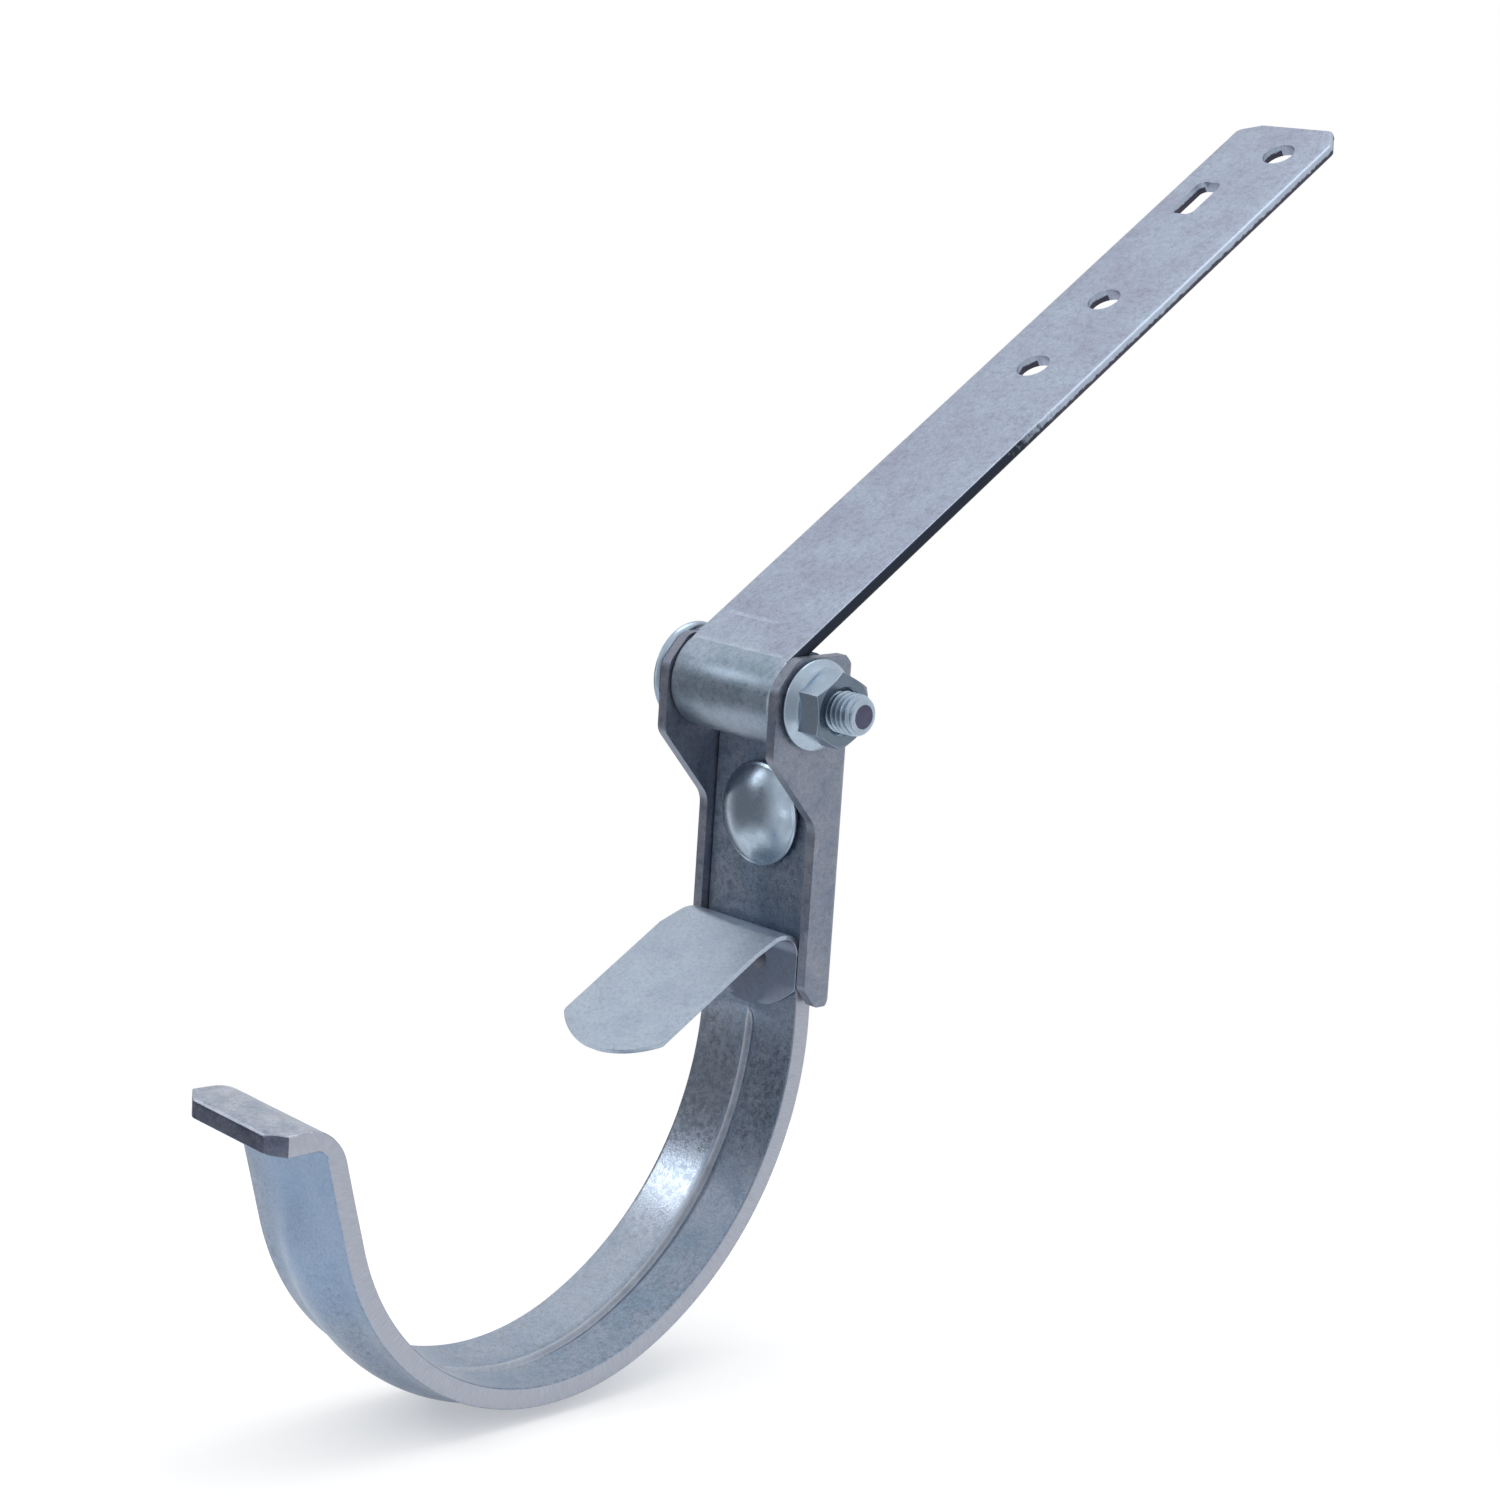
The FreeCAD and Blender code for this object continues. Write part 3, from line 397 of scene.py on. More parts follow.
def round_edges(obj, width, angle=40.0):
    modifier = obj.modifiers.new("edges", "BEVEL")
    modifier.width = width * MM
    modifier.segments = EDGE_STEPS
    modifier.limit_method = "ANGLE"
    modifier.angle_limit = math.radians(angle)
    modifier.harden_normals = True
    modifier.use_clamp_overlap = True
    modifier.miter_outer = "MITER_ARC"
    obj.data.shade_smooth()
    apply_modifiers(obj)


def merge_flat(obj):
    """Joins coplanar faces, so that rounded edges run clean."""
    with mesh_edit(obj) as bm:
        bmesh.ops.dissolve_limit(bm, angle_limit=math.radians(FLAT_ANGLE), verts=bm.verts,
                                 edges=bm.edges, delimit={"MATERIAL"})


def sharp_by_angle(obj, angle=40):
    """Smooth shading with sharp edges; large end faces stay flat."""
    obj.data.shade_smooth()
    for polygon in obj.data.polygons:
        polygon.use_smooth = len(polygon.vertices) < 12
    obj.data.set_sharp_from_angle(angle=math.radians(angle))
    return obj


def mark(obj, test, index=None, flat=False):
    """Gives the faces that pass a test of their normal and their centre, in mm, another of the
    piece's materials, or flat shading."""
    for polygon in obj.data.polygons:
        if test(polygon.normal, polygon.center / MM):
            if index is not None:
                polygon.material_index = index
            if flat:
                polygon.use_smooth = False


def grid_faces(rows, steps, closed):
    """Faces of rows of steps points each, round the rows and, if closed, from last to first."""
    faces = []
    for k in range(rows if closed else rows - 1):
        n = (k + 1) % rows
        for i in range(steps):
            j = (i + 1) % steps
            faces.append((k * steps + i, k * steps + j, n * steps + j, n * steps + i))
    return faces


def lathe(name, profile, origin, axis, steps):
    """Turns (radius, height) points about an axis through origin. A profile that starts on the
    axis also ends there; any other is closed."""
    axis = Vector(axis).normalized()
    side = axis.orthogonal().normalized()
    other = axis.cross(side)
    origin = Vector(origin)
    verts = []
    for r, h in profile:
        for i in range(steps):
            a = 2 * math.pi * i / steps
            verts.append(origin + axis * h + (side * math.cos(a) + other * math.sin(a)) * r)
    faces = grid_faces(len(profile), steps, profile[0][0] > 0)
    return tidy_mesh(new_object(name, verts, faces))


def cylinder(name, r, start, end, origin, axis, steps):
    profile = [(0, start), (r, start), (r, end), (0, end)]
    return lathe(name, profile, origin, axis, steps)


def prism(name, outline, place, depth):
    """Extrudes a closed outline of (u, v) points; place turns (u, v, w) into a point."""
    n = len(outline)
    verts = [place(u, v, w) for w in (0.0, depth) for u, v in outline]
    faces = [tuple(range(n)), tuple(range(2 * n - 1, n - 1, -1))]
    faces += [(i, (i + 1) % n, n + (i + 1) % n, n + i) for i in range(n)]
    return tidy_mesh(new_object(name, verts, faces))


def rectangle(w, h, cx=0.0, cy=0.0):
    """Corners of a rectangle with half sizes w and h."""
    return [(cx - w, cy - h), (cx + w, cy - h), (cx + w, cy + h), (cx - w, cy + h)]


def ring_points(r, n, cx=0.0, cy=0.0, start=0.0):
    angles = [start + 2 * math.pi * i / n for i in range(n)]
    return [(cx + r * math.cos(a), cy + r * math.sin(a)) for a in angles]


def round_corner_points(points, radii, step_deg=6.0):
    """Closed polygon with the given corner radii, as a finer polygon."""
    out = []
    n = len(points)
    for i in range(n):
        p = Vector(points[i])
        a = (Vector(points[i - 1]) - p).normalized()
        b = (Vector(points[(i + 1) % n]) - p).normalized()
        r = radii[i]
        if r <= 0:
            out.append(tuple(p))
            continue
        half = math.acos(max(-1.0, min(1.0, a.dot(b)))) / 2
        centre = p + (a + b).normalized() * (r / math.sin(half))
        start = p + a * (r / math.tan(half)) - centre
        end = p + b * (r / math.tan(half)) - centre
        turn = start.angle_signed(end)
        steps = max(2, int(abs(math.degrees(turn)) / step_deg) + 1)
        for k in range(steps + 1):
            t = -turn * k / steps
            c, s = math.cos(t), math.sin(t)
            out.append((centre.x + start.x * c - start.y * s,
                        centre.y + start.x * s + start.y * c))
    return out


def arc_steps(start, end, length, step):
    """Evenly spaced values from start to end, a step of path length apart."""
    n = max(1, int(round(length / step)))
    return [start + (end - start) * i / n for i in range(n + 1)]


def clamp_share(u):
    return min(1.0, max(0.0, u))


def strip_section(left, right, thickness, edge, shares):
    """Closed loop of (x, t) points round a flat strip's section, with rounded edges.

    The loop runs along the inner face (t = 0) from left to right and back along the outer.
    shares are the positions across the faces, from 0 at the left to 1 at the right.
    """
    near, far = left + edge, right - edge
    across = [near + (right - left - 2 * edge) * f for f in shares]
    loop = [(x, 0.0) for x in across]
    corners = [(far, edge, -90.0), (far, thickness - edge, 0.0),
               (near, thickness - edge, 90.0), (near, edge, 180.0)]
    for x, t, start in corners:
        for j in range(EDGE_STEPS + 1):
            a = math.radians(start + 90.0 * j / EDGE_STEPS)
            loop.append((x + edge * math.cos(a), t + edge * math.sin(a)))
        if start == 0.0:
            loop += [(x, thickness) for x in reversed(across)]
    return loop


def sweep(name, sections):
    """Joins closed sections of equally many points, with a face at each end."""
    n = len(sections[0])
    last = (len(sections) - 1) * n
    faces = grid_faces(len(sections), n, False)
    faces += [tuple(range(n - 1, -1, -1)), tuple(range(last, last + n))]
    return new_object(name, [p for section in sections for p in section], faces)


# Materials

MATH = "ShaderNodeMath"
MIX = "ShaderNodeMix"
NOISE = "ShaderNodeTexNoise"
RAMP = "ShaderNodeValToRGB"
RANGE = "ShaderNodeMapRange"
XYZ = "ShaderNodeSeparateXYZ"


def add_node(tree, kind, inputs=None, stops=(), **options):
    """Adds a node and returns its outputs. inputs gives a socket, by name or number, its constant
    or the output that it is linked to; stops are a colour ramp's (place, grey) pairs."""
    node = tree.nodes.new(kind)
    for key, value in options.items():
        setattr(node, key, value)
    for key, value in (inputs or {}).items():
        if isinstance(value, bpy.types.NodeSocket):
            tree.links.new(value, node.inputs[key])
        else:
            node.inputs[key].default_value = value
    if stops:
        elements = node.color_ramp.elements
        while len(elements) < len(stops):
            elements.new(0.5)
        for element, (place, grey) in zip(elements, stops):
            element.position = place
            element.color = (grey, grey, grey, 1.0)
    return node.outputs


def new_material(name):
    """An empty material and the function that adds its nodes."""
    material = bpy.data.materials.new(name)
    material.use_nodes = True
    material.node_tree.nodes.clear()
    return material, partial(add_node, material.node_tree)


def per_mm(size):
    """Texture scale at which one feature is about size millimetres."""
    return 1.0 / (size * MM)


def finish_metal(node, base, gloss, height, strength, depth, metallic):
    """Ends a metal's nodes with its relief, of some strength and a depth in mm, and its shader."""
    relief = node("ShaderNodeBump", {"Height": height, "Strength": strength,
                                     "Distance": depth * MM})[0]
    shader = node("ShaderNodeBsdfPrincipled", {"Base Color": base, "Roughness": gloss,
                                               "Normal": relief, "Metallic": metallic})[0]
    node("ShaderNodeOutputMaterial", {"Surface": shader})


def dipped_zinc(name, colour, tint, sizes, rough, bump, contrast, metallic=0.85, zones=()):
    """Hot-dip galvanised steel, dull: soft clouds over the sheet, small mottling and a faint
    grain, with their sizes in mm.

    The clouds shift the hue from blue to purple, the mottling shifts the gloss, so that the
    sheen is patchy, and the grain breaks up the reflections. Each zone has, for some axes, the
    two places in mm between which the zinc turns to its colour, the colour's share, and a gloss.
    """
    material, node = new_material(name)
    where = node("ShaderNodeTexCoord")["Object"]
    clouds, spots, fine = [
        node(NOISE, {"Vector": where, "Scale": per_mm(size), "Detail": detail, "Roughness": rise,
                     "Distortion": warp})["Fac"]
        for size, detail, rise, warp in zip(sizes, (4.0, 3.0, 2.0), (0.6, 0.65, 0.6),
                                            (0.3, 0.0, 0.0))]
    share = node(RAMP, {"Fac": clouds}, [(0.36, 0.0), (0.66, 1.0)])[0]
    base = node(MIX, {0: share, 6: colour, 7: tint}, data_type="RGBA")[2]
    spot_shades = [(0.3, 1.0 - 0.22 * contrast), (0.5, 1.0), (0.72, 1.0 + 0.12 * contrast)]
    fine_shades = [(0.32, 1.0 - 0.20 * contrast), (0.68, 1.0 + 0.10 * contrast)]
    for source, shades in ((spots, spot_shades), (fine, fine_shades)):
        shade = node(RAMP, {"Fac": source}, shades)[0]
        base = node(MIX, {0: 1.0, 6: base, 7: shade}, data_type="RGBA", blend_type="MULTIPLY")[2]
    part = node(MATH, {0: spots, 1: 0.65}, operation="MULTIPLY")[0]
    rest = node(MATH, {0: fine, 1: 0.35}, operation="MULTIPLY")[0]
    both = node(MATH, {0: part, 1: rest}, operation="ADD")[0]
    gloss = node(RAMP, {"Fac": both}, [(0.34, rough[0]), (0.66, rough[1])])[0]
    for places, patch, amount, polish in zones:
        split = node(XYZ, {"Vector": where})
        share = 1.0
        for axis, (start, end) in places.items():
            part = node(RANGE, {"Value": split[axis], "From Min": start * MM,
                                "From Max": end * MM})["Result"]
            share = node(MATH, {0: part, 1: share}, operation="MULTIPLY")[0]
        polished = node(RAMP, {"Fac": spots}, [(0.38, polish[0]), (0.62, polish[1])])[0]
        gloss = node(MIX, {0: share, 6: gloss, 7: polished}, data_type="RGBA")[2]
        share = node(MATH, {0: share, 1: amount}, operation="MULTIPLY")[0]
        base = node(MIX, {0: share, 6: base, 7: patch}, data_type="RGBA")[2]
    height = node(MATH, {0: spots, 1: 0.6}, operation="MULTIPLY")[0]
    height = node(MATH, {0: height, 1: fine}, operation="ADD")[0]
    finish_metal(node, base, gloss, height, bump, 0.05, metallic)
    return material


def plated_zinc(name, colour, rough=0.28):
    """Electro-zinc-plated steel, bright and clear passivated: smooth and bluish, with faint
    handling marks that soften the gloss here and there."""
    material, node = new_material(name)
    where = node("ShaderNodeTexCoord")["Object"]
    blur = node(NOISE, {"Vector": where, "Scale": per_mm(3.0), "Detail": 3.0,
                        "Roughness": 0.6})["Fac"]
    fine = node(NOISE, {"Vector": where, "Scale": per_mm(0.4), "Detail": 2.0})["Fac"]
    darker = tuple(c * 0.86 for c in colour[:3]) + (1.0,)
    share = node(RAMP, {"Fac": blur}, [(0.4, 0.0), (0.7, 1.0)])[0]
    base = node(MIX, {0: share, 6: colour, 7: darker}, data_type="RGBA")[2]
    gloss = node(RAMP, {"Fac": blur}, [(0.35, rough - 0.05), (0.7, rough + 0.10)])[0]
    finish_metal(node, base, gloss, fine, 0.05, 0.02, 0.95)
    return material


def sheared_edge(name, smooth, place, torn=None):
    """Sheared steel edge: a smooth cut band with fine cross lines. place adds the nodes that give
    the place on the edge, with Y along it and Z through the thickness. torn gives the colour of
    the torn band with its ragged border, the thickness, its share from one face (0) to the other
    (1), and the places in mm between which the painted shade near the strip's start fades out."""
    material, node = new_material(name)
    where = place(node)
    stretch = node("ShaderNodeMapping", {"Vector": where, "Scale": (1.0, 0.12, 0.12)})[0]
    lines = node(NOISE, {"Vector": stretch, "Scale": per_mm(0.3), "Detail": 3.0,
                         "Roughness": 0.6})["Fac"]
    base, gloss, height = smooth, 0.42, lines
    stripes = node(RAMP, {"Fac": lines}, [(0.3, 0.88), (0.7, 1.07)])[0]
    if torn:
        broken, thickness, stops, shade_fade = torn
        split = node(XYZ, {"Vector": where})
        ragged = node(NOISE, {"Vector": where, "Scale": per_mm(1.4), "Detail": 4.0,
                              "Roughness": 0.7})["Fac"]
        level = node(MATH, {0: split["Z"], 1: thickness * MM}, operation="DIVIDE")[0]
        swing = node(MATH, {0: ragged, 1: 0.5}, operation="SUBTRACT")[0]
        swing = node(MATH, {0: swing, 1: 0.55}, operation="MULTIPLY")[0]
        level = node(MATH, {0: level, 1: swing}, operation="ADD")[0]
        share = node(RAMP, {"Fac": level}, stops)[0]
        base = node(MIX, {0: share, 6: smooth, 7: broken}, data_type="RGBA")[2]
        gloss = node(RAMP, {"Fac": share}, [(0.0, 0.42), (1.0, 0.62)])[0]
        rough = node(MATH, {0: ragged, 1: share}, operation="MULTIPLY")[0]
        rough = node(MATH, {0: rough, 1: 1.5}, operation="MULTIPLY")[0]
        height = node(MATH, {0: lines, 1: rough}, operation="ADD")[0]
    base = node(MIX, {0: 1.0, 6: base, 7: stripes}, data_type="RGBA", blend_type="MULTIPLY")[2]
    # painted shade: the side darkens towards the strip's start, with a ragged border
    if torn:
        drift = node(MATH, {0: ragged, 1: 30.0 * MM}, operation="MULTIPLY")[0]
        run = node(MATH, {0: split["Y"], 1: drift}, operation="ADD")[0]
        painted_shade_share = node(RANGE, {"Value": run, "From Min": shade_fade[0] * MM, "From Max": shade_fade[1] * MM,
                           "To Min": 1.0, "To Max": 0.0})["Result"]
        base = node(MIX, {0: painted_shade_share, 6: base, 7: settings().colours.painted_shade}, data_type="RGBA")[2]
    finish_metal(node, base, gloss, height, 0.3, 0.06, 0.8)
    return material


def dress(obj, body, node, materials):
    """Puts the piece on its body, in place of its CAD node."""
    marks = [polygon.material_index for polygon in obj.data.polygons]
    obj.data.materials.clear()
    for material in materials:
        obj.data.materials.append(material)
    obj.data.polygons.foreach_set("material_index", marks)
    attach(obj, body)
    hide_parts(node)


# Hook

class HookPath:
    """The hook's side line: inner and outer face points at each step of its length."""

    def __init__(self, sizes):
        self.s = sizes
        self.rear = (sizes["face_y"] - sizes["rear_radius"], sizes["arc_start_z"])
        step = sizes["rear_radius"] - sizes["front_radius"]
        t = sizes["rear_angle"]
        self.front = (self.rear[0] + step * math.cos(t), self.rear[1] - step * math.sin(t))
        self.lean = math.pi - sizes["end_angle"]

    def on_arc(self, angle, out):
        centre, radius = self.rear, self.s["rear_radius"]
        if angle > self.s["rear_angle"]:
            centre, radius = self.front, self.s["front_radius"]
        r = radius + out
        return Vector((0, centre[0] + r * math.cos(angle), centre[1] - r * math.sin(angle)))

    def lip_round(self, out, top, radius, steps=16):
        """Points of the round between the leaning arm and the level lip."""
        start = self.on_arc(self.s["end_angle"], out)
        corner = Vector((0, start.y - (top - start.z) * math.tan(self.lean), top))
        turn = math.pi / 2 - self.lean
        cut = radius * math.tan(turn / 2)
        arm = Vector((0, math.sin(self.lean), -math.cos(self.lean)))
        centre = corner + Vector((0, -cut, 0)) + Vector((0, 0, -radius))
        first = corner + arm * cut - centre
        points = []
        for i in range(steps + 1):
            c, s = math.cos(turn * i / steps), math.sin(turn * i / steps)
            points.append(centre + Vector((0, first.y * c - first.z * s,
                                           first.y * s + first.z * c)))
        return points

    def stations(self):
        """(inner point, outer point, kind) along the hook from the top to the lip."""
        s = self.s
        t = s["thickness"]
        face = s["face_y"]
        rise = s["top_round"]
        top = HOOK_HIGH.z
        heights = [top - rise * (1 - math.cos(math.radians(a))) for a in range(0, 91, 10)]
        straight = top - rise - s["arc_start_z"]
        heights += arc_steps(top - rise, s["arc_start_z"], straight, 3.0)[1:]
        out = [(Vector((0, face, z)), Vector((0, face + t, z)), "bar") for z in heights]
        turn = s["rear_angle"]
        angles = arc_steps(0.0, turn, s["rear_radius"] * turn, 0.6)[1:]
        front_length = s["front_radius"] * (s["end_angle"] - turn)
        angles += arc_steps(turn + 1e-6, s["end_angle"], front_length, 1.0)[1:]
        out += [(self.on_arc(a, 0), self.on_arc(a, t), "arc") for a in angles]
        inner = self.lip_round(0, s["lip_top"], s["lip_bend_radius"])
        outer = self.lip_round(t, s["lip_top"] - t, s["lip_under_radius"])
        last_in, last_out, _ = out[-1]
        for f in (i / 8 for i in range(1, 8)):
            out.append((last_in.lerp(inner[0], f), last_out.lerp(outer[0], f), "arm"))
        out += [(a, b, "arm") for a, b in zip(inner, outer)]
        root_in, root_out, _ = out[-1]
        cut = HOOK_LOW.y + s["chamfer_y"]
        edges = []
        for y in arc_steps(root_in.y, cut, root_in.y - cut, 2.0)[1:]:
            f = (y - root_in.y) / (cut - root_in.y)
            edges.append((y, root_out.y + (cut - root_out.y) * f))
        nose = s["lip_nose"]
        edges += [(y, y) for y in arc_steps(cut, HOOK_LOW.y + nose, s["chamfer_y"] - nose, 0.5)[1:]]
        out += [(Vector((0, y, s["lip_top"])), Vector((0, under, s["lip_top"] - t)), "lip")
                for y, under in edges]
        return out

    def half_width(self, inner, kind):
        s = self.s
        half = s["width"] / 2
        root = s["lip_root_width"] / 2
        wide = s["lip_width"] / 2
        rise = s["top_round"]
        below = HOOK_HIGH.z - inner.z
        if kind == "bar" and below < rise:
            return half - rise + math.sqrt(max(0.0, rise * rise - (rise - below) ** 2))
        if kind == "bar" or inner.y > ARM_Y:
            return half
        root_z = s["lip_top"] - s["thickness"]
        if kind != "lip" and inner.z < root_z:
            f = max(0.0, (inner.z - s["flare_start_z"]) / (root_z - s["flare_start_z"]))
            return half + (root - half) * f * f
        cut = HOOK_LOW.y + s["chamfer_y"]
        if inner.y >= cut:
            return root + (wide - root) * clamp_share((LIP_Y - inner.y) / (LIP_Y - cut))
        return wide - s["chamfer_x"] * (cut - inner.y) / s["chamfer_y"]


def bead_height(x, height):
    """Height of the pressed bead at a distance x from its middle."""
    f = math.radians(BEAD_FLANK)
    x = abs(x)
    x1 = BEAD_CROWN * math.sin(f)
    d1 = BEAD_CROWN * (1 - math.cos(f))
    d3 = BEAD_SHOULDER * (1 - math.cos(f))
    x2 = x1 + (height - d1 - d3) / math.tan(f)
    x3 = x2 + BEAD_SHOULDER * math.sin(f)
    if x <= x1:
        return height - BEAD_CROWN + math.sqrt(BEAD_CROWN * BEAD_CROWN - x * x)
    if x <= x2:
        return height - d1 - (x - x1) * math.tan(f)
    if x <= x3:
        return BEAD_SHOULDER - math.sqrt(max(0.0, BEAD_SHOULDER ** 2 - (x3 - x) ** 2))
    return 0.0


def smooth_step(u):
    u = clamp_share(u)
    return u * u * (3 - 2 * u)


def groove_share(x, half):
    """Share of the groove's depth at x: the halves of the bar fall slightly towards a narrow
    groove, whose left wall is steep and whose right wall slants."""
    off = abs(x) / half
    fall = GROOVE_FALL * (1.0 - smooth_step(off) * 0.5 - 0.5 * min(1.0, off))
    left, right = [smooth_step((x - start) / width) for start, width in (LEFT_WALL, RIGHT_WALL)]
    return fall + GROOVE_DEEP * left * (1.0 - right)


def bead_scale(travel, length_to_end, sizes):
    """(width, height) share of the bead at a travel from its start and from its end."""
    run_in = sizes["bead_run_in"]
    run_out = sizes["bead_run_out"]
    if travel <= 0 or length_to_end <= 0:
        return 0.5, 0.0
    if travel < run_in:
        k = math.sqrt(1 - (1 - travel / run_in) ** 2)
        return 0.3 + 0.7 * k, k
    if length_to_end < run_out:
        k = 0.5 * (1 + math.cos(math.pi * (1 - length_to_end / run_out)))
        return 0.6 + 0.4 * k, k
    return 1.0, 1.0


def hook_mesh(s):
    path = HookPath(s)
    stations = path.stations()
    edge = s["edge"]
    t = s["thickness"]
    tilt = math.tan(s["lip_tilt"])
    runs = [0.0]
    for a, b in zip(stations, stations[1:]):
        runs.append(runs[-1] + (b[0] - a[0]).length)
    bend, arm = [next(i for i, station in enumerate(stations) if station[2] == kind)
                 for kind in ("arc", "arm")]
    bead_from = runs[bend - 1] + s["rear_radius"] * s["bead_start"]
    bead_to = runs[arm] - math.radians(8.0) * s["front_radius"] + s["bead_run_out"]
    sections = []
    values = []
    for i, (inner, outer, kind) in enumerate(stations):
        direction = outer - inner
        thick = direction.length
        direction.normalize()
        half = path.half_width(inner, kind)
        kw, kh = bead_scale(runs[i] - bead_from, bead_to - runs[i], s)
        lean = tilt * clamp_share((i - arm) / 12.0)
        # the top end is rounded by two smaller sections
        ends = [(edge, 0.0), (edge * 0.3, edge * 0.4), (0.0, edge)] if i == 0 else [(0.0, 0.0)]
        for inset, shift in ends:
            points = []
            for x, d in strip_section(-half + inset, half - inset, thick - 2 * inset, edge,
                                      HOOK_SHARES):
                extra = 0.0
                if kh > 0 and d < edge:
                    extra = groove_share(x / kw, half) * s["groove_depth"] * kh
                elif kh > 0 and d > thick - edge:
                    extra = bead_height(x / kw, s["rise_height"]) * kh
                p = inner + direction * (d + inset + extra)
                points.append(Vector((x, p.y, p.z - shift - x * lean)))
                values.append((runs[i], d))
            sections.append(points)
    # rounded front end of the lip, rounder on its upper edge
    slope = s["chamfer_x"] / s["chamfer_y"]
    nose = s["lip_nose"]
    for k in (1, 2, 3, 4):
        a = math.radians(22.5 * k)
        inset = nose * (1 - math.cos(a))
        under = edge * (1 - math.cos(a))
        forward = nose * math.sin(a)
        wide = half - under - forward * slope
        loop = strip_section(-wide, wide, t - inset - under, edge, HOOK_SHARES)
        sections.append([Vector((x, inner.y - forward, inner.z - d - inset - x * tilt))
                         for x, d in loop])
        values += [(runs[-1] + forward, d) for _, d in loop]
    obj = sweep("gutter_hook_bar", sections)
    # UV map in metres: along the bar and through its thickness
    layer = obj.data.uv_layers.new(name="bar_run")
    for loop in obj.data.loops:
        layer.data[loop.index].uv = [v * MM for v in values[loop.vertex_index]]
    return obj


class BRACKET_OT_gutter_hook(bpy.types.Operator):
    """Bar bent to the half round, with its bead and front lip"""
    bl_idname = "bracket.gutter_hook"
    bl_label = "Gutter hook"

    def execute(self, context):
        colours = settings().colours
        s = mm_values("hook")
        f = mm_values("fasteners")
        obj = hook_mesh(s)
        q = f["neck"] / 2 + f["neck_gap"]
        y0 = s["face_y"] - 1
        combine(obj, prism("neck_hole", rectangle(q, q),
                           lambda u, v, w: Vector((CLAMP.x + u, y0 + w, CLAMP.z + v)), 7.0))
        combine(obj, cylinder("rivet_hole", RIVET_SHANK + 0.02, 0, 7, (RIVET.x, y0, RIVET.z),
                              (0, 1, 0), 32))
        sharp_by_angle(obj)
        cut_y = min(v.co.y for v in obj.data.vertices) / MM + s["chamfer_y"] + 0.3
        root = s["lip_top"] - s["thickness"] - 2.0
        # painted highlight on the groove's steep left wall
        mark(obj, lambda n, c: n.x > 0.42 and abs(c.x) < 2.0, 4)
        mark(obj, lambda n, c: abs(n.x) > 0.95 and abs(c.x) > 9.0, 1)
        mark(obj, lambda n, c: n.y < -0.9999, flat=True)
        # paler colour on the lip's upward faces: painted light
        mark(obj, lambda n, c: c.z >= root and c.y <= 0 and n.z > 0.2, 2)
        # painted shade on the lip's end and cut corners
        mark(obj, lambda n, c: (root <= c.z and c.y < min(0, cut_y) and n.y < -0.3
                                and -0.3 < n.z <= 0.2), 3, flat=True)
        # smoother where the gutter's back rubs the left half, with a painted highlight there,
        # bluish on the arm, and with painted shade right of the groove
        zones = (
            # painted highlight on the left half, which is also smoother
            ({"X": (-0.6, -2.2), "Y": (-8.0, 18.0), "Z": (8.0, -6.0)}, colours.hook_painted_highlight, 0.35,
             (0.19, 0.31)),
            ({"X": (-12.0, -4.0), "Y": (-38.0, -48.0), "Z": (-46.0, -24.0)}, colours.hook_blue,
             0.36, (0.34, 0.50)),
            # painted shade right of the groove
            ({"X": (0.4, 2.6), "Y": (16.0, 40.0), "Z": (-44.0, -24.0)}, colours.painted_shade, 0.22,
             (0.34, 0.52)),
        )
        # blue-grey clouds with a lively, patchy sheen
        zinc = dipped_zinc("hot-dip galvanised steel, patchy sheen", colours.hook,
                           colours.hook_tint, (12.0, 1.3, 0.4), (0.34, 0.52), 0.3, 1.3,
                           zones=zones)
        # pale, even side with fine lines across
        edge = sheared_edge("sheared and galvanised steel edge", colours.hook_edge,
                            lambda node: node("ShaderNodeUVMap", uv_map="bar_run")["UV"])
        # painted light: a paler colour on the lip's upward faces
        top = dipped_zinc("hot-dip galvanised steel, thick zinc on the lip", colours.lip,
                          colours.hook, (6.0, 1.3, 0.4), (0.34, 0.52), 0.4, 1.1)
        # dull cut end, darkened with painted shade
        front = dipped_zinc("sheared bar end, weathered zinc", colours.lip_end_shade,
                            colours.lip_end_shade_tint, (4.0, 1.0, 0.4), (0.42, 0.55), 0.4, 1.0)
        # painted highlight: a bright line along the groove's steep wall
        groove_highlight = dipped_zinc("zinc rubbed bright on the groove's steep wall", colours.hook_groove_highlight,
                           colours.lip, (5.0, 0.9, 0.3), (0.36, 0.52), 0.3, 0.5, metallic=0.45)
        dress(obj, "hook", "gutter_hook", [zinc, edge, top, front, groove_highlight])
        return {"FINISHED"}


# Strap

def strap_frame():
    """Turns (x, along, off) on the strap into a point of the frame."""
    pitch = settings().strap.pitch
    along = Vector((0, math.cos(pitch), math.sin(pitch)))
    off = Vector((0, -math.sin(pitch), math.cos(pitch)))

    def place(x, s, d):
        return Vector((x, PIVOT.y, PIVOT.z)) + along * s + off * d

    return place


def press_mark_depth(along, x):
    depth = 0.0
    for place, left, right in PRESS_MARKS:
        near = max(0.0, 1 - ((along - place) / MARK_HALF) ** 2) ** 2
        inside = min(clamp_share((x - left) / MARK_FADES[0]),
                     max(0.0, (right - x) / MARK_FADES[1]))
        depth += MARK_DEPTH * near * inside
    return depth


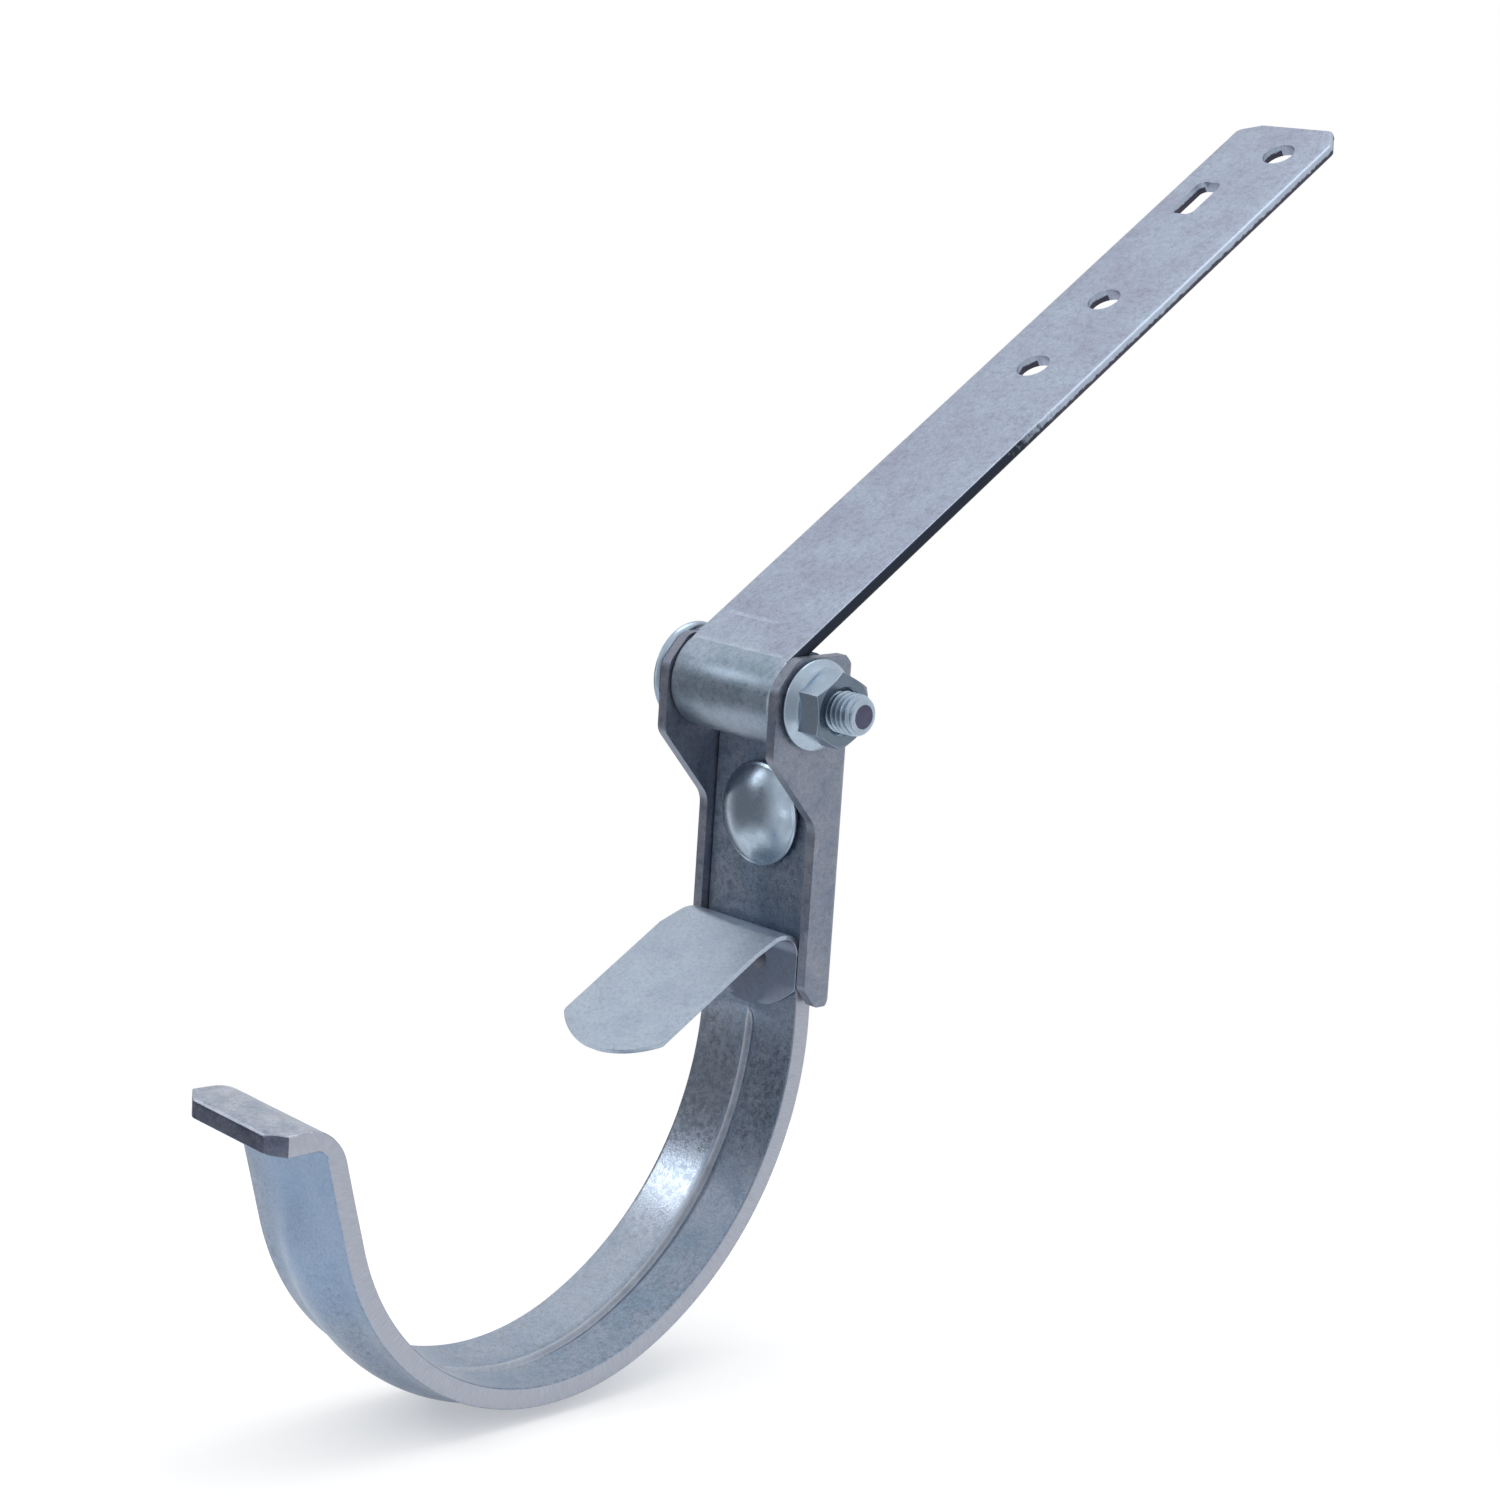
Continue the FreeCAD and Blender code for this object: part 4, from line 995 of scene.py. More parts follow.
def strap_mesh(s):
    place = strap_frame()
    thickness = s["thickness"]
    outer = s["eye_radius"]
    inner = outer - thickness
    half = s["width"] / 2
    edge = s["edge"]
    length = s["length"]
    shares = [i / 16 for i in range(1, 16)]
    sections = []

    def add(point, left, right, inset=0.0, along=None):
        points = []
        for x, t in strip_section(PIVOT.x + left + inset, PIVOT.x + right - inset,
                                  thickness - 2 * inset, edge, shares):
            if along is not None and t > thickness - edge:
                t -= press_mark_depth(along, x - PIVOT.x)
            points.append(point(x, inner + t + inset))
        sections.append(points)

    def on_eye(a):
        return lambda x, r: place(x, r * math.cos(a), r * math.sin(a))

    def on_strip(y):
        return lambda x, r: place(x, y, r)

    # the eye is rolled down and round from the strap: from its free end to the strap's start
    free = math.pi / 2 - s["seam"]
    total = 2 * math.pi - s["seam"]
    for shift, inset in ((0.0, edge), (0.4 * edge, 0.3 * edge), (edge, 0.0)):
        add(on_eye(free - shift / outer), -half, half, inset)
    for i in range(1, EYE_STEPS + 1):
        add(on_eye(free - total * i / EYE_STEPS), -half, half)
    # tip: corners cut at an angle and rounded, so the sides are read from the rounded outline
    corners = [(-half, 0.0), (half, 0.0), (half, length - TIP_RIGHT[1]),
               (half - TIP_RIGHT[0], length), (-half + TIP_LEFT[0], length),
               (-half, length - TIP_LEFT[1])]
    outline = round_corner_points(corners, [0, 0] + [TIP_ROUND] * 4, 12.0)
    sides = [sorted((p for p in outline if p[0] * sign > 0.5), key=lambda p: p[1])
             for sign in (-1, 1)]

    def widths_at(y):
        found = []
        for side in sides:
            x = side[-1][0]
            for (x0, y0), (x1, y1) in zip(side, side[1:]):
                if y0 <= y <= y1 and y1 > y0:
                    x = x0 + (x1 - x0) * (y - y0) / (y1 - y0)
                    break
            found.append(x)
        return found

    end = length - edge
    tip = sorted({round(p[1], 3) for p in outline if p[1] > length - 12})
    tip = [y for y in tip if y < end - 0.02] + [end]
    offsets = (0.07, 0.2, 0.35, 0.5, 0.65, 0.8)
    marks = [m + d for m, _, _ in PRESS_MARKS for d in [-o for o in reversed(offsets)] + [*offsets]]
    for y in marks + [20.0, 60.0, 100.0, 140.0, length - 12] + tip:
        add(on_strip(y), *widths_at(y), along=y)
    for a in (math.radians(30.0 * k) for k in (1, 2, 3)):
        add(on_strip(end + edge * math.sin(a)), *widths_at(end), edge * (1 - math.cos(a)))
    return sweep("rafter_strap_strip", sections)


class BRACKET_OT_rafter_strap(bpy.types.Operator):
    """Strip with its rolled eye, screw holes, slot, cut tip and press marks"""
    bl_idname = "bracket.rafter_strap"
    bl_label = "Rafter strap"

    def execute(self, context):
        colours = settings().colours
        s = mm_values("strap")
        place = strap_frame()
        obj = tidy_mesh(strap_mesh(s), 0.0002)
        cuts = [("screw_hole", ring_points(s["hole"] / 2, 48, *spot)) for spot in SCREW_HOLES]
        slot = rectangle(s["slot_width"] / 2, s["slot_length"] / 2, *NAIL_SLOT)
        cuts.append(("nail_slot", round_corner_points(slot, [SLOT_ROUND] * 4, 15.0)))
        for name, outline in cuts:
            combine(obj, prism(name, outline, lambda u, v, w: place(PIVOT.x + u, v, 4.0 + w), 8.0))
        pivot = Vector((0, PIVOT.y, PIVOT.z))
        along = place(0, 1, 0) - pivot
        off = place(0, 0, 1) - pivot
        inner = s["eye_radius"] - s["thickness"] - 0.05

        def pressed(n, c):
            c = c - pivot
            return (c.dot(off) > s["eye_radius"] - 0.5
                    and press_mark_depth(c.dot(along), c.x - PIVOT.x) > 0.03)

        def rolled(n, c):
            return (c - pivot).dot(along) < 0.6 or (c - pivot).dot(off) < inner

        def side(n, c):
            return abs(n.x) > 0.5 and (c - pivot).dot(along) > 0 and (c - pivot).dot(off) > inner

        mark(obj, pressed, 2)
        mark(obj, rolled, 3)
        mark(obj, side, 1)
        merge_flat(obj)
        round_edges(obj, 0.28)
        mark(obj, lambda n, c: n.dot(along) > 0.9999, flat=True)

        def edge_place(node):
            where = node("ShaderNodeTexCoord")["Object"]
            moved = node("ShaderNodeMapping", {"Vector": where, "Location": -pivot * MM})[0]
            return node("ShaderNodeMapping", {
                "Vector": moved, "Rotation": (-s["pitch"], 0.0, 0.0),
                "Location": (0.0, 0.0, (s["thickness"] - s["eye_radius"]) * MM)})[0]

        # pale strip whose clouds turn slightly purple
        zinc = dipped_zinc("hot-dip galvanised steel strip, dull", colours.strap,
                           colours.strap_tint, (11.0, 1.3, 0.35), (0.35, 0.50), 0.25, 0.9)
        # painted shade on the side near the eye, then a pale band over a dark torn one
        torn = (colours.strap_edge, s["thickness"], [(0.45, 1.0), (0.58, 0.0)], (84.0, 98.0))
        edge = sheared_edge("sheared steel strip edge, torn band", colours.strap, edge_place, torn)
        # two thin bright lines across the strip
        press = dipped_zinc("zinc burnished by the folding tool", colours.strap_mark,
                            colours.strap, (3.0, 0.9, 0.3), (0.35, 0.50), 0.2, 0.9)
        # smoother and greener eye, with painted shade on its underside
        # painted shade under the eye
        eye_underside_shade = ({"Y": (70.0, 50.0), "Z": (72.0, 66.0)}, colours.painted_shade, 0.30, (0.36, 0.50))
        eye = dipped_zinc("galvanised steel strip, rolled smooth", colours.strap_eye,
                          colours.strap, (9.0, 1.1, 0.3), (0.30, 0.44), 0.2, 0.9, zones=(eye_underside_shade,))
        dress(obj, "strap", "rafter_strap", [zinc, edge, press, eye])
        return {"FINISHED"}


# Channel

class BRACKET_OT_clevis_channel(bpy.types.Operator):
    """Sheet folded to a channel, with its ears, step, slot and bolt holes"""
    bl_idname = "bracket.clevis_channel"
    bl_label = "Clevis channel"

    def execute(self, context):
        colours = settings().colours
        s = mm_values("channel")
        f = mm_values("fasteners")
        low, high = CHANNEL_LOW, CHANNEL_HIGH
        rear = high.y
        left, right = low.x + s["sheet"], high.x - s["sheet"]
        web = rear - s["sheet"]
        section = [(low.x, 30.0), (low.x, rear), (high.x, rear), (high.x, 30.0),
                   (right, 30.0), (right, web), (left, web), (left, 30.0)]
        radii = [0, s["fold_out"], s["fold_out"], 0, 0, s["fold_in"], s["fold_in"], 0]
        obj = prism("clevis_channel_sheet", round_corner_points(section, radii, 8.0),
                    lambda u, v, w: Vector((u, v, low.z - 2 + w)), high.z - low.z + 4)
        ear = [((low.y if y is None else y, high.z if z is None else z), r)
               for (y, z), r in EAR_OUTLINE]
        side = [((rear + 1, low.z + 5.0), 0), ((rear + 1, EAR_REAR_Z), 0),
                ((rear, EAR_REAR_Z), 0)] + ear
        side += [((FLANGE_FRONT, low.z + 4.0), 1.8), ((FLANGE_FRONT + 3.2, low.z), 1.2),
                 ((rear - 2.0, low.z), 1.0), ((rear - 0.2, low.z + 1.8), 1.0)]
        profile = round_corner_points([p for p, _ in side], [r for _, r in side])
        combine(obj, prism("side_profile", profile,
                           lambda u, v, w: Vector((low.x - 2 + w, u, v)), high.x - low.x + 4),
                "INTERSECT")
        opening = [(left, web - 0.6), (right, web - 0.6), (right, rear + 3), (left, rear + 3)]
        combine(obj, prism("web_cut", opening,
                           lambda u, v, w: Vector((u, v, s["web_top"] + w)), 60.0))
        r = s["slot_half"]
        mid = (low.x + high.x) / 2
        slot = [(mid + r * math.cos(a), z + r * math.sin(a))
                for z, start in ((CLAMP.z + SLOT_UP, 0.0), (CLAMP.z - SLOT_DOWN, math.pi))
                for a in arc_steps(start, start + math.pi, 24, 1)]
        combine(obj, prism("web_slot", slot, lambda u, v, w: Vector((u, web - 3 + w, v)), 8.0))
        combine(obj, cylinder("ear_hole", s["bolt_hole"] / 2, 0, 10,
                              (high.x - 6, PIVOT.y, PIVOT.z), (1, 0, 0), 64))
        q = f["neck"] / 2 + f["neck_gap"]
        combine(obj, prism("neck_hole", rectangle(q, q), lambda u, v, w: Vector(
            (low.x - 3 + w, PIVOT.y + u, PIVOT.z + v)), 10.0))
        tidy_mesh(obj, 0.001)
        merge_flat(obj)
        round_edges(obj, s["edge"])
        # darker and warmer grey than the strap, with small soft clouds
        zinc = dipped_zinc("hot-dip galvanised folded sheet", colours.channel,
                           colours.channel_tint, (8.0, 1.3, 0.35), (0.38, 0.54), 0.22, 0.9)
        dress(obj, "clevis", "clevis_channel", [zinc])
        return {"FINISHED"}


# Fasteners

def head_profile(f):
    """(radius, height) points of a mushroom head seated on height 0."""
    r = f["head"] / 2
    rim = f["head_rim"]
    rise = f["head_height"] - rim
    big = (r * r + rise * rise) / (2 * rise)
    top = f["head_height"] - big
    profile = [(0.0, 0.0)] + [(r - inwards, up) for inwards, up in HEAD_UNDER]
    profile += [(r - inwards, rim + up) for inwards, up in HEAD_EDGE]
    limit = math.asin((r - 0.45) / big)
    for i in range(24):
        a = limit * (1 - i / 24.0)
        profile.append((big * math.sin(a), top + big * math.cos(a)))
    return profile + [(0.0, f["head_height"])]


def helix_shank(name, origin, axis, start, end, f, steps=64):
    """Closed threaded rod: a grid that follows the helix, cut flat at both ends."""
    side = axis.orthogonal().normalized()
    other = axis.cross(side)
    pitch = f["pitch"]
    crest = f["bolt"] / 2
    depth = THREAD_DEPTH * pitch

    def radius(phase):
        u = phase % 1.0
        if u < ROOT_END:
            return crest - depth
        if u < CREST_START:
            return crest - depth * (CREST_START - u) / (CREST_START - ROOT_END)
        if u < CREST_END:
            return crest
        return crest - depth * (u - CREST_END) / (1.0 - CREST_END)

    turns = int((end - start) / pitch) + 2
    marks = [turn + share for turn in range(-1, turns) for share in THREAD_SHARES]
    verts = []
    for mark_at in marks:
        for i in range(steps):
            around = i / steps
            h = min(max(start + (mark_at + around) * pitch, start), end)
            r = radius(mark_at)
            if h >= end or h <= start:
                r = radius((h - start) / pitch - around)
            if end - h < END_LENGTH:
                u = 1.0 - (end - h) / END_LENGTH
                r = min(r, crest - 0.1 - END_DEPTH * (1.0 - math.sqrt(max(0.0, 1.0 - u * u))))
            a = 2 * math.pi * around
            verts.append(origin + axis * h + (side * math.cos(a) + other * math.sin(a)) * r)
    # the last step round meets the first one a whole pitch further on
    faces = []
    for k in range(len(marks)):
        for i in range(steps):
            j = (i + 1) % steps
            n = k if j else k + len(THREAD_SHARES)
            if n + 1 < len(marks):
                faces.append((k * steps + i, n * steps + j, (n + 1) * steps + j,
                              (k + 1) * steps + i))
    obj = tidy_mesh(new_object(name, verts, faces), 0.002)
    with mesh_edit(obj) as bm:
        loose = [v for v in bm.verts if not v.link_faces]
        bmesh.ops.delete(bm, geom=loose, context="VERTS")
        bmesh.ops.holes_fill(bm, edges=[e for e in bm.edges if e.is_boundary], sides=0)
        bmesh.ops.recalc_face_normals(bm, faces=bm.faces)
    return obj


def join(parts, name):
    """One object from several closed shells, with their normals kept."""
    with bpy.context.temp_override(active_object=parts[0], object=parts[0], selected_objects=parts,
                                   selected_editable_objects=parts):
        bpy.ops.object.join()
    parts[0].name = name
    parts[0].data.name = name
    return parts[0]


def build_bolt(name, seat, axis, neck_length, plain_to, length, f):
    """Bolt whose head sits on seat and points along axis; the shank runs the other way."""
    back = -axis
    side = Vector((0, 0, 1))
    other = back.cross(side)
    q = f["neck"] / 2
    r = f["bolt"] / 2
    head = lathe(name + "_head", head_profile(f), seat, axis, f["steps"])
    square = round_corner_points(rectangle(q, q), [0.5] * 4, 20.0)
    neck = prism(name + "_neck", square,
                 lambda u, v, w: seat + side * u + other * v + back * (w - 0.5), neck_length + 0.5)
    plain = cylinder(name + "_shank", r, -0.5, plain_to, seat, back, 64)
    for part in (head, neck, plain):
        sharp_by_angle(part)
    thread = sharp_by_angle(helix_shank(name + "_thread", seat, back, plain_to - 0.3, length, f),
                            38)
    bolt = join([head, neck, plain, thread], name)
    mark(bolt, lambda n, c: n.dot(back) > 0.999 and (c - seat).dot(back) > length - 0.05, 1)
    return bolt


def build_nut(name, seat, axis, side, turn, f):
    """Hexagon nut with a flange, seated on seat and rising along axis; side and turn, in degrees,
    tell where the hexagon's first corner points."""
    other = axis.cross(side)
    h = f["nut_height"]
    corner = f["hexagon"] / math.sqrt(3)
    r = f["flange"] / 2
    hole = f["bolt"] / 2 + 0.02
    hexagon = ring_points(corner, 6, start=math.radians(turn))
    obj = prism(name + "_hexagon", hexagon,
                lambda u, v, w: seat + side * u + other * v + axis * (0.6 + w), h - 0.6)
    top = f["hexagon"] / 2 - 0.1
    far = corner + 2
    cone = [(0, 0), (far, 0), (far, h - (far - top) * math.tan(math.radians(30))), (top, h), (0, h)]
    combine(obj, lathe("crown", cone, seat, axis, 96), "INTERSECT")
    bore = [(0, -1), (hole + 0.01, -1), (hole + 0.01, h - 0.7), (hole + 0.7, h),
            (hole + 0.7, h + 1), (0, h + 1)]
    combine(obj, lathe("bore", bore, seat, axis, 64))
    merge_flat(tidy_mesh(obj, 0.001))
    round_edges(obj, 0.16, 18.0)
    base = f["hexagon"] / 2 + 0.3
    bearing = f["flange_seat"] / 2
    ring = [(hole, 0.7), (hole + 0.7, 0), (bearing - 0.3, 0), (bearing, 0.1)]
    ring += [(r - inwards, up) for inwards, up in FLANGE_EDGE]
    ring += [(base + 0.6, 2.6), (base + 0.3, 2.8), (base - 0.2, 2.95), (hole, 2.95)]
    flange = sharp_by_angle(lathe(name + "_flange", ring, seat, axis, 128), 32)
    nut = join([obj, flange], name)
    # painted shade on the outer face round the bolt's end
    mark(nut, lambda n, c: n.dot(axis) > 0.8 and (c - seat).dot(axis) > h - 1.0, 1)
    return nut


class BRACKET_OT_bolts(bpy.types.Operator):
    """Pivot bolt and clamp bolt, with mushroom heads, square necks and threads"""
    bl_idname = "bracket.bolts"
    bl_label = "Bolts"

    def execute(self, context):
        colours = settings().colours
        f = mm_values("fasteners")
        # smooth, bluish and bright
        zinc = plated_zinc("bright zinc-plated steel bolt", colours.bright)
        # dark cut end
        end = plated_zinc("sheared bolt end, dull zinc", colours.bolt_end, rough=0.42)
        seat = Vector((PIVOT_LOW.x + f["head_height"], PIVOT.y, PIVOT.z))
        pivot = build_bolt("pivot_bolt_m8", seat, Vector((-1, 0, 0)), 2.2, 32.0,
                           PIVOT_HIGH.x - seat.x, f)
        dress(pivot, "clevis", "pivot_bolt", [zinc, end])
        seat = Vector((CLAMP.x, CLAMP_LOW.y + f["head_height"], CLAMP.z))
        clamp = build_bolt("clamp_bolt_m8", seat, Vector((0, -1, 0)), 4.0, 6.0,
                           CLAMP_HIGH.y - seat.y, f)
        dress(clamp, "hook", "clamp_bolt", [zinc, end])
        return {"FINISHED"}


class BRACKET_OT_nuts(bpy.types.Operator):
    """Flange nuts of the two bolts"""
    bl_idname = "bracket.nuts"
    bl_label = "Flange nuts"

    def execute(self, context):
        colours = settings().colours
        f = mm_values("fasteners")
        x, y, z = Matrix.Identity(3)
        # smooth, bluish and bright
        zinc = plated_zinc("bright zinc-plated steel nut", colours.bright)
        # painted shade: a darker ring round the bolt's end
        face_shade = plated_zinc("turned nut face, darker zinc", colours.nut_face, rough=0.24)
        seat = Vector((PIVOT_NUT_LOW.x, PIVOT.y, PIVOT.z))
        pivot = build_nut("pivot_flange_nut", seat, x, -z, 3.0, f)
        dress(pivot, "clevis", "pivot_nut", [zinc, face_shade])
        seat = Vector((CLAMP.x, CLAMP_NUT_LOW.y, CLAMP.z))
        clamp = build_nut("clamp_flange_nut", seat, y, x, 20.0, f)
        dress(clamp, "hook", "clamp_nut", [zinc, face_shade])
        return {"FINISHED"}


class BRACKET_OT_pivot_sleeve(bpy.types.Operator):
    """Tube between the pivot bolt and the rolled eye"""
    bl_idname = "bracket.pivot_sleeve"
    bl_label = "Pivot sleeve"

    def execute(self, context):
        outer = (SLEEVE_HIGH.z - SLEEVE_LOW.z) / 2
        inner = mm_values("fasteners")["sleeve_bore"]
        length = SLEEVE_HIGH.x - SLEEVE_LOW.x
        cut = 0.2
        profile = [(inner, cut), (inner + cut, 0), (outer - cut, 0), (outer, cut),
                   (outer, length - cut), (outer - cut, length), (inner + cut, length),
                   (inner, length - cut)]
        obj = sharp_by_angle(lathe("pivot_sleeve_tube", profile,
                                   (SLEEVE_LOW.x, PIVOT.y, PIVOT.z), (1, 0, 0), 96))
        # plain grey tube, seen only as a rim
        zinc = plated_zinc("zinc-plated drawn tube", settings().colours.channel, rough=0.35)
        dress(obj, "clevis", "pivot_sleeve", [zinc])
        return {"FINISHED"}


# Clip and rivet

def round_end(from_tip, left, right, middle, radius):
    """Left and right edge of a strip at a distance from its round end's outermost point."""
    rest = radius - min(from_tip, radius)
    reach = math.sqrt(max(0.0, radius * radius - rest * rest))
    return max(left, middle - reach), min(right, middle + reach)


def clip_mesh(s, face):
    t = s["thickness"]
    r = s["fold_radius"]
    a = s["tab_angle"]
    cy = face - r
    cz = s["fold_top"] - r
    shares = [0.25, 0.5, 0.75]
    sections = []

    def slant(y):
        f = clamp_share((y - s["slant_front"]) / (s["slant_rear"] - s["slant_front"]))
        return (s["tab_left"] + (s["base_left"] - s["tab_left"]) * f,
                s["right"] + (s["base_right"] - s["right"]) * f)

    def add(inner, outer, left, right, at_tip=False):
        inset = CLIP_EDGE * 0.9 if at_tip else 0.0
        direction = (outer - inner).normalized()
        loop = strip_section(left + inset, right - inset, t - 2 * inset, CLIP_EDGE, shares)
        sections.append([Vector((x, *(inner + direction * (d + inset))[1:])) for x, d in loop])

    base = s["base_left"], s["base_right"]
    for d in CLIP_STEPS:
        z = s["bottom"] + d
        add(Vector((0, face - t, z)), Vector((0, face, z)),
            *round_end(d, *base, sum(base) / 2, s["base_end_radius"]), d == CLIP_STEPS[0])
    add(Vector((0, face - t, cz)), Vector((0, face, cz)), *base)
    for i in range(1, 37):
        b = (math.pi / 2 + a) * i / 36
        inner, outer = [Vector((0, cy + q * math.cos(b), cz + q * math.sin(b)))
                        for q in (r - t, r)]
        add(inner, outer, *slant(outer.y))
    run = Vector((0, -math.cos(a), -math.sin(a)))
    length = s["tab_length"]
    for d in [length - d for d in (1.5, 3.0, 4.6, 6.0, 20.0)] + [*reversed(CLIP_STEPS)]:
        step = run * (length - d)
        edges = round_end(d, *slant((outer + step).y), s["tab_end_x"], s["tab_end_radius"])
        add(inner + step, outer + step, *edges, d == CLIP_STEPS[0])
    return sweep("spring_clip_strip", sections)


class BRACKET_OT_spring_clip(bpy.types.Operator):
    """Thin clip that holds the gutter's back edge"""
    bl_idname = "bracket.spring_clip"
    bl_label = "Spring clip"

    def execute(self, context):
        colours = settings().colours
        s = mm_values("clip")
        face = mm_values("hook")["face_y"]
        obj = clip_mesh(s, face)
        combine(obj, cylinder("rivet_hole", RIVET_SHANK + 0.25, 0, 5, (RIVET.x, 50.5, RIVET.z),
                              (0, 1, 0), 48))
        sharp_by_angle(obj)
        middle = Vector((0, face - s["fold_radius"], s["fold_top"] - s["fold_radius"]))
        depth = 0.5 * (s["thickness"] - s["fold_radius"])

        def shaded_inner_side(n, c):
            """Under the tab, inside the fold, on the base's front and on its right rim: the faces
            that get painted shade
            """
            if n.x > 0.3:
                return c.z < middle.z and c.y > middle.y
            return n.x > -0.3 and n.dot(c - middle) < depth

        mark(obj, shaded_inner_side, 1)
        # the palest and mattest sheet of the bracket
        zinc = dipped_zinc("galvanised spring strip, matt", colours.clip, colours.strap,
                           (7.0, 0.9, 0.3), (0.36, 0.48), 0.18, 0.7)
        # painted shade: a darker, bluish inner side
        inner = dipped_zinc("galvanised spring strip, rolled inner side", colours.clip_inner_shade,
                            colours.lip_end_shade, (5.0, 0.9, 0.3), (0.34, 0.46), 0.18, 0.7)
        dress(obj, "hook", "spring_clip", [zinc, inner])
        return {"FINISHED"}


class BRACKET_OT_clip_rivet(bpy.types.Operator):
    """Rivet that holds the clip"""
    bl_idname = "bracket.clip_rivet"
    bl_label = "Clip rivet"

    def execute(self, context):
        grey = settings().colours.rivet
        rise = 0.4
        r = (RIVET_HIGH.x - RIVET_LOW.x) / 2 + rise
        face = RIVET_LOW.y + rise
        back = RIVET_HIGH.y - face
        profile = [(0, -rise), (0.6, -0.38), (1.1, -0.3), (r - 0.5, -0.1), (r - 0.42, 0.05),
                   (RIVET_SHANK, 0.1), (RIVET_SHANK, back), (0, back)]
        obj = sharp_by_angle(lathe("clip_rivet_steel", profile, (RIVET.x, face, RIVET.z),
                                   (0, 1, 0), 48), 45)
        # small dull head that hardly shines
        dull = dipped_zinc("set steel rivet, dull", grey, grey, (2.0, 0.5, 0.2), (0.4, 0.6), 0.3,
                           1.0)
        dress(obj, "hook", "clip_rivet", [dull])
        return {"FINISHED"}


# Stage

def camera_matrix():
    az, el, roll = map(math.radians, (CAMERA_AZIMUTH, CAMERA_ELEVATION, CAMERA_ROLL))
    forward = Vector((-math.sin(az) * math.cos(el), math.cos(az) * math.cos(el), -math.sin(el)))
    right = Vector((math.cos(az), math.sin(az), 0.0))
    up = right.cross(forward)
    turned_right = right * math.cos(roll) + up * math.sin(roll)
    turned_up = up * math.cos(roll) - right * math.sin(roll)
    place = Vector(CAMERA_PLACE) * MM
    rows = [(turned_right[i], turned_up[i], -forward[i], place[i]) for i in range(3)]
    return Matrix(rows + [(0, 0, 0, 1)])


def backdrop_rays(node):
    """The share of rays that see the background: camera, mirror and glass rays."""
    path = node("ShaderNodeLightPath")
    seen = node(MATH, {0: path["Is Camera Ray"], 1: path["Is Glossy Ray"]},
                operation="MAXIMUM")[0]
    return node(MATH, {0: seen, 1: path["Is Transmission Ray"]}, operation="MAXIMUM")[0], path


def add_floor():
    low = HOOK_LOW.z - FLOOR_GAP
    ring = ring_points(FLOOR_RADIUS, 96)
    floor = new_object("studio_floor", [(x, y, low) for x, y in ring], [tuple(range(96))])
    # matt and pale; the camera also sees it lit from within, so that it meets the white backdrop
    material, node = new_material("matt pale studio floor")
    seen, _ = backdrop_rays(node)
    matt = node("ShaderNodeBsdfDiffuse", {"Color": settings().colours.floor})[0]
    white = node("ShaderNodeEmission", {"Color": (1, 1, 1, 1), "Strength": 0.35})[0]
    both = node("ShaderNodeAddShader", {0: matt, 1: white})[0]
    pick = node("ShaderNodeMixShader", {0: seen, 1: matt, 2: both})[0]
    node("ShaderNodeOutputMaterial", {"Surface": pick})
    floor.data.materials.append(material)


def add_world(scene):
    world = bpy.data.worlds.new("soft studio")
    scene.world = world
    world.use_nodes = True
    world.node_tree.nodes.clear()
    node = partial(add_node, world.node_tree)
    where = node("ShaderNodeTexCoord")["Generated"]
    seen, path = backdrop_rays(node)
    # the backdrop is white; the light that it throws is softer and comes more from above
    height = node(MATH, {0: node(XYZ, {"Vector": where})["Z"], 1: 0.5}, operation="MULTIPLY")[0]
    height = node(MATH, {0: height, 1: 0.5}, operation="ADD")[0]
    room_light = node(RAMP, {"Fac": height}, [(0.0, 0.55), (0.5, 0.72), (0.8, 0.9)])[0]
    backdrop = node(MIX, {0: seen, 6: room_light, 7: (1.0, 1.0, 1.0, 1.0)}, data_type="RGBA")[2]
    # the metal mirrors the unlit wall and the dim room, which the camera doesn't see
    shares = []
    for side, stops in DARK_SIDES:
        towards = node("ShaderNodeVectorMath", {0: where, 1: side}, operation="DOT_PRODUCT")
        shares.append(node(RAMP, {"Fac": towards["Value"]}, stops)[0])
    wall = node(MATH, {0: shares[0], 1: shares[1]}, operation="MAXIMUM")[0]
    unseen = node(MATH, {0: 1.0, 1: path["Is Camera Ray"]}, operation="SUBTRACT")[0]
    wall = node(MATH, {0: wall, 1: unseen}, operation="MULTIPLY")[0]
    light = node(MIX, {0: wall, 6: backdrop, 7: WALL_LIGHT}, data_type="RGBA")[2]
    room = node("ShaderNodeBackground", {"Color": light, "Strength": 1.0})[0]
    node("ShaderNodeOutputWorld", {"Surface": room})


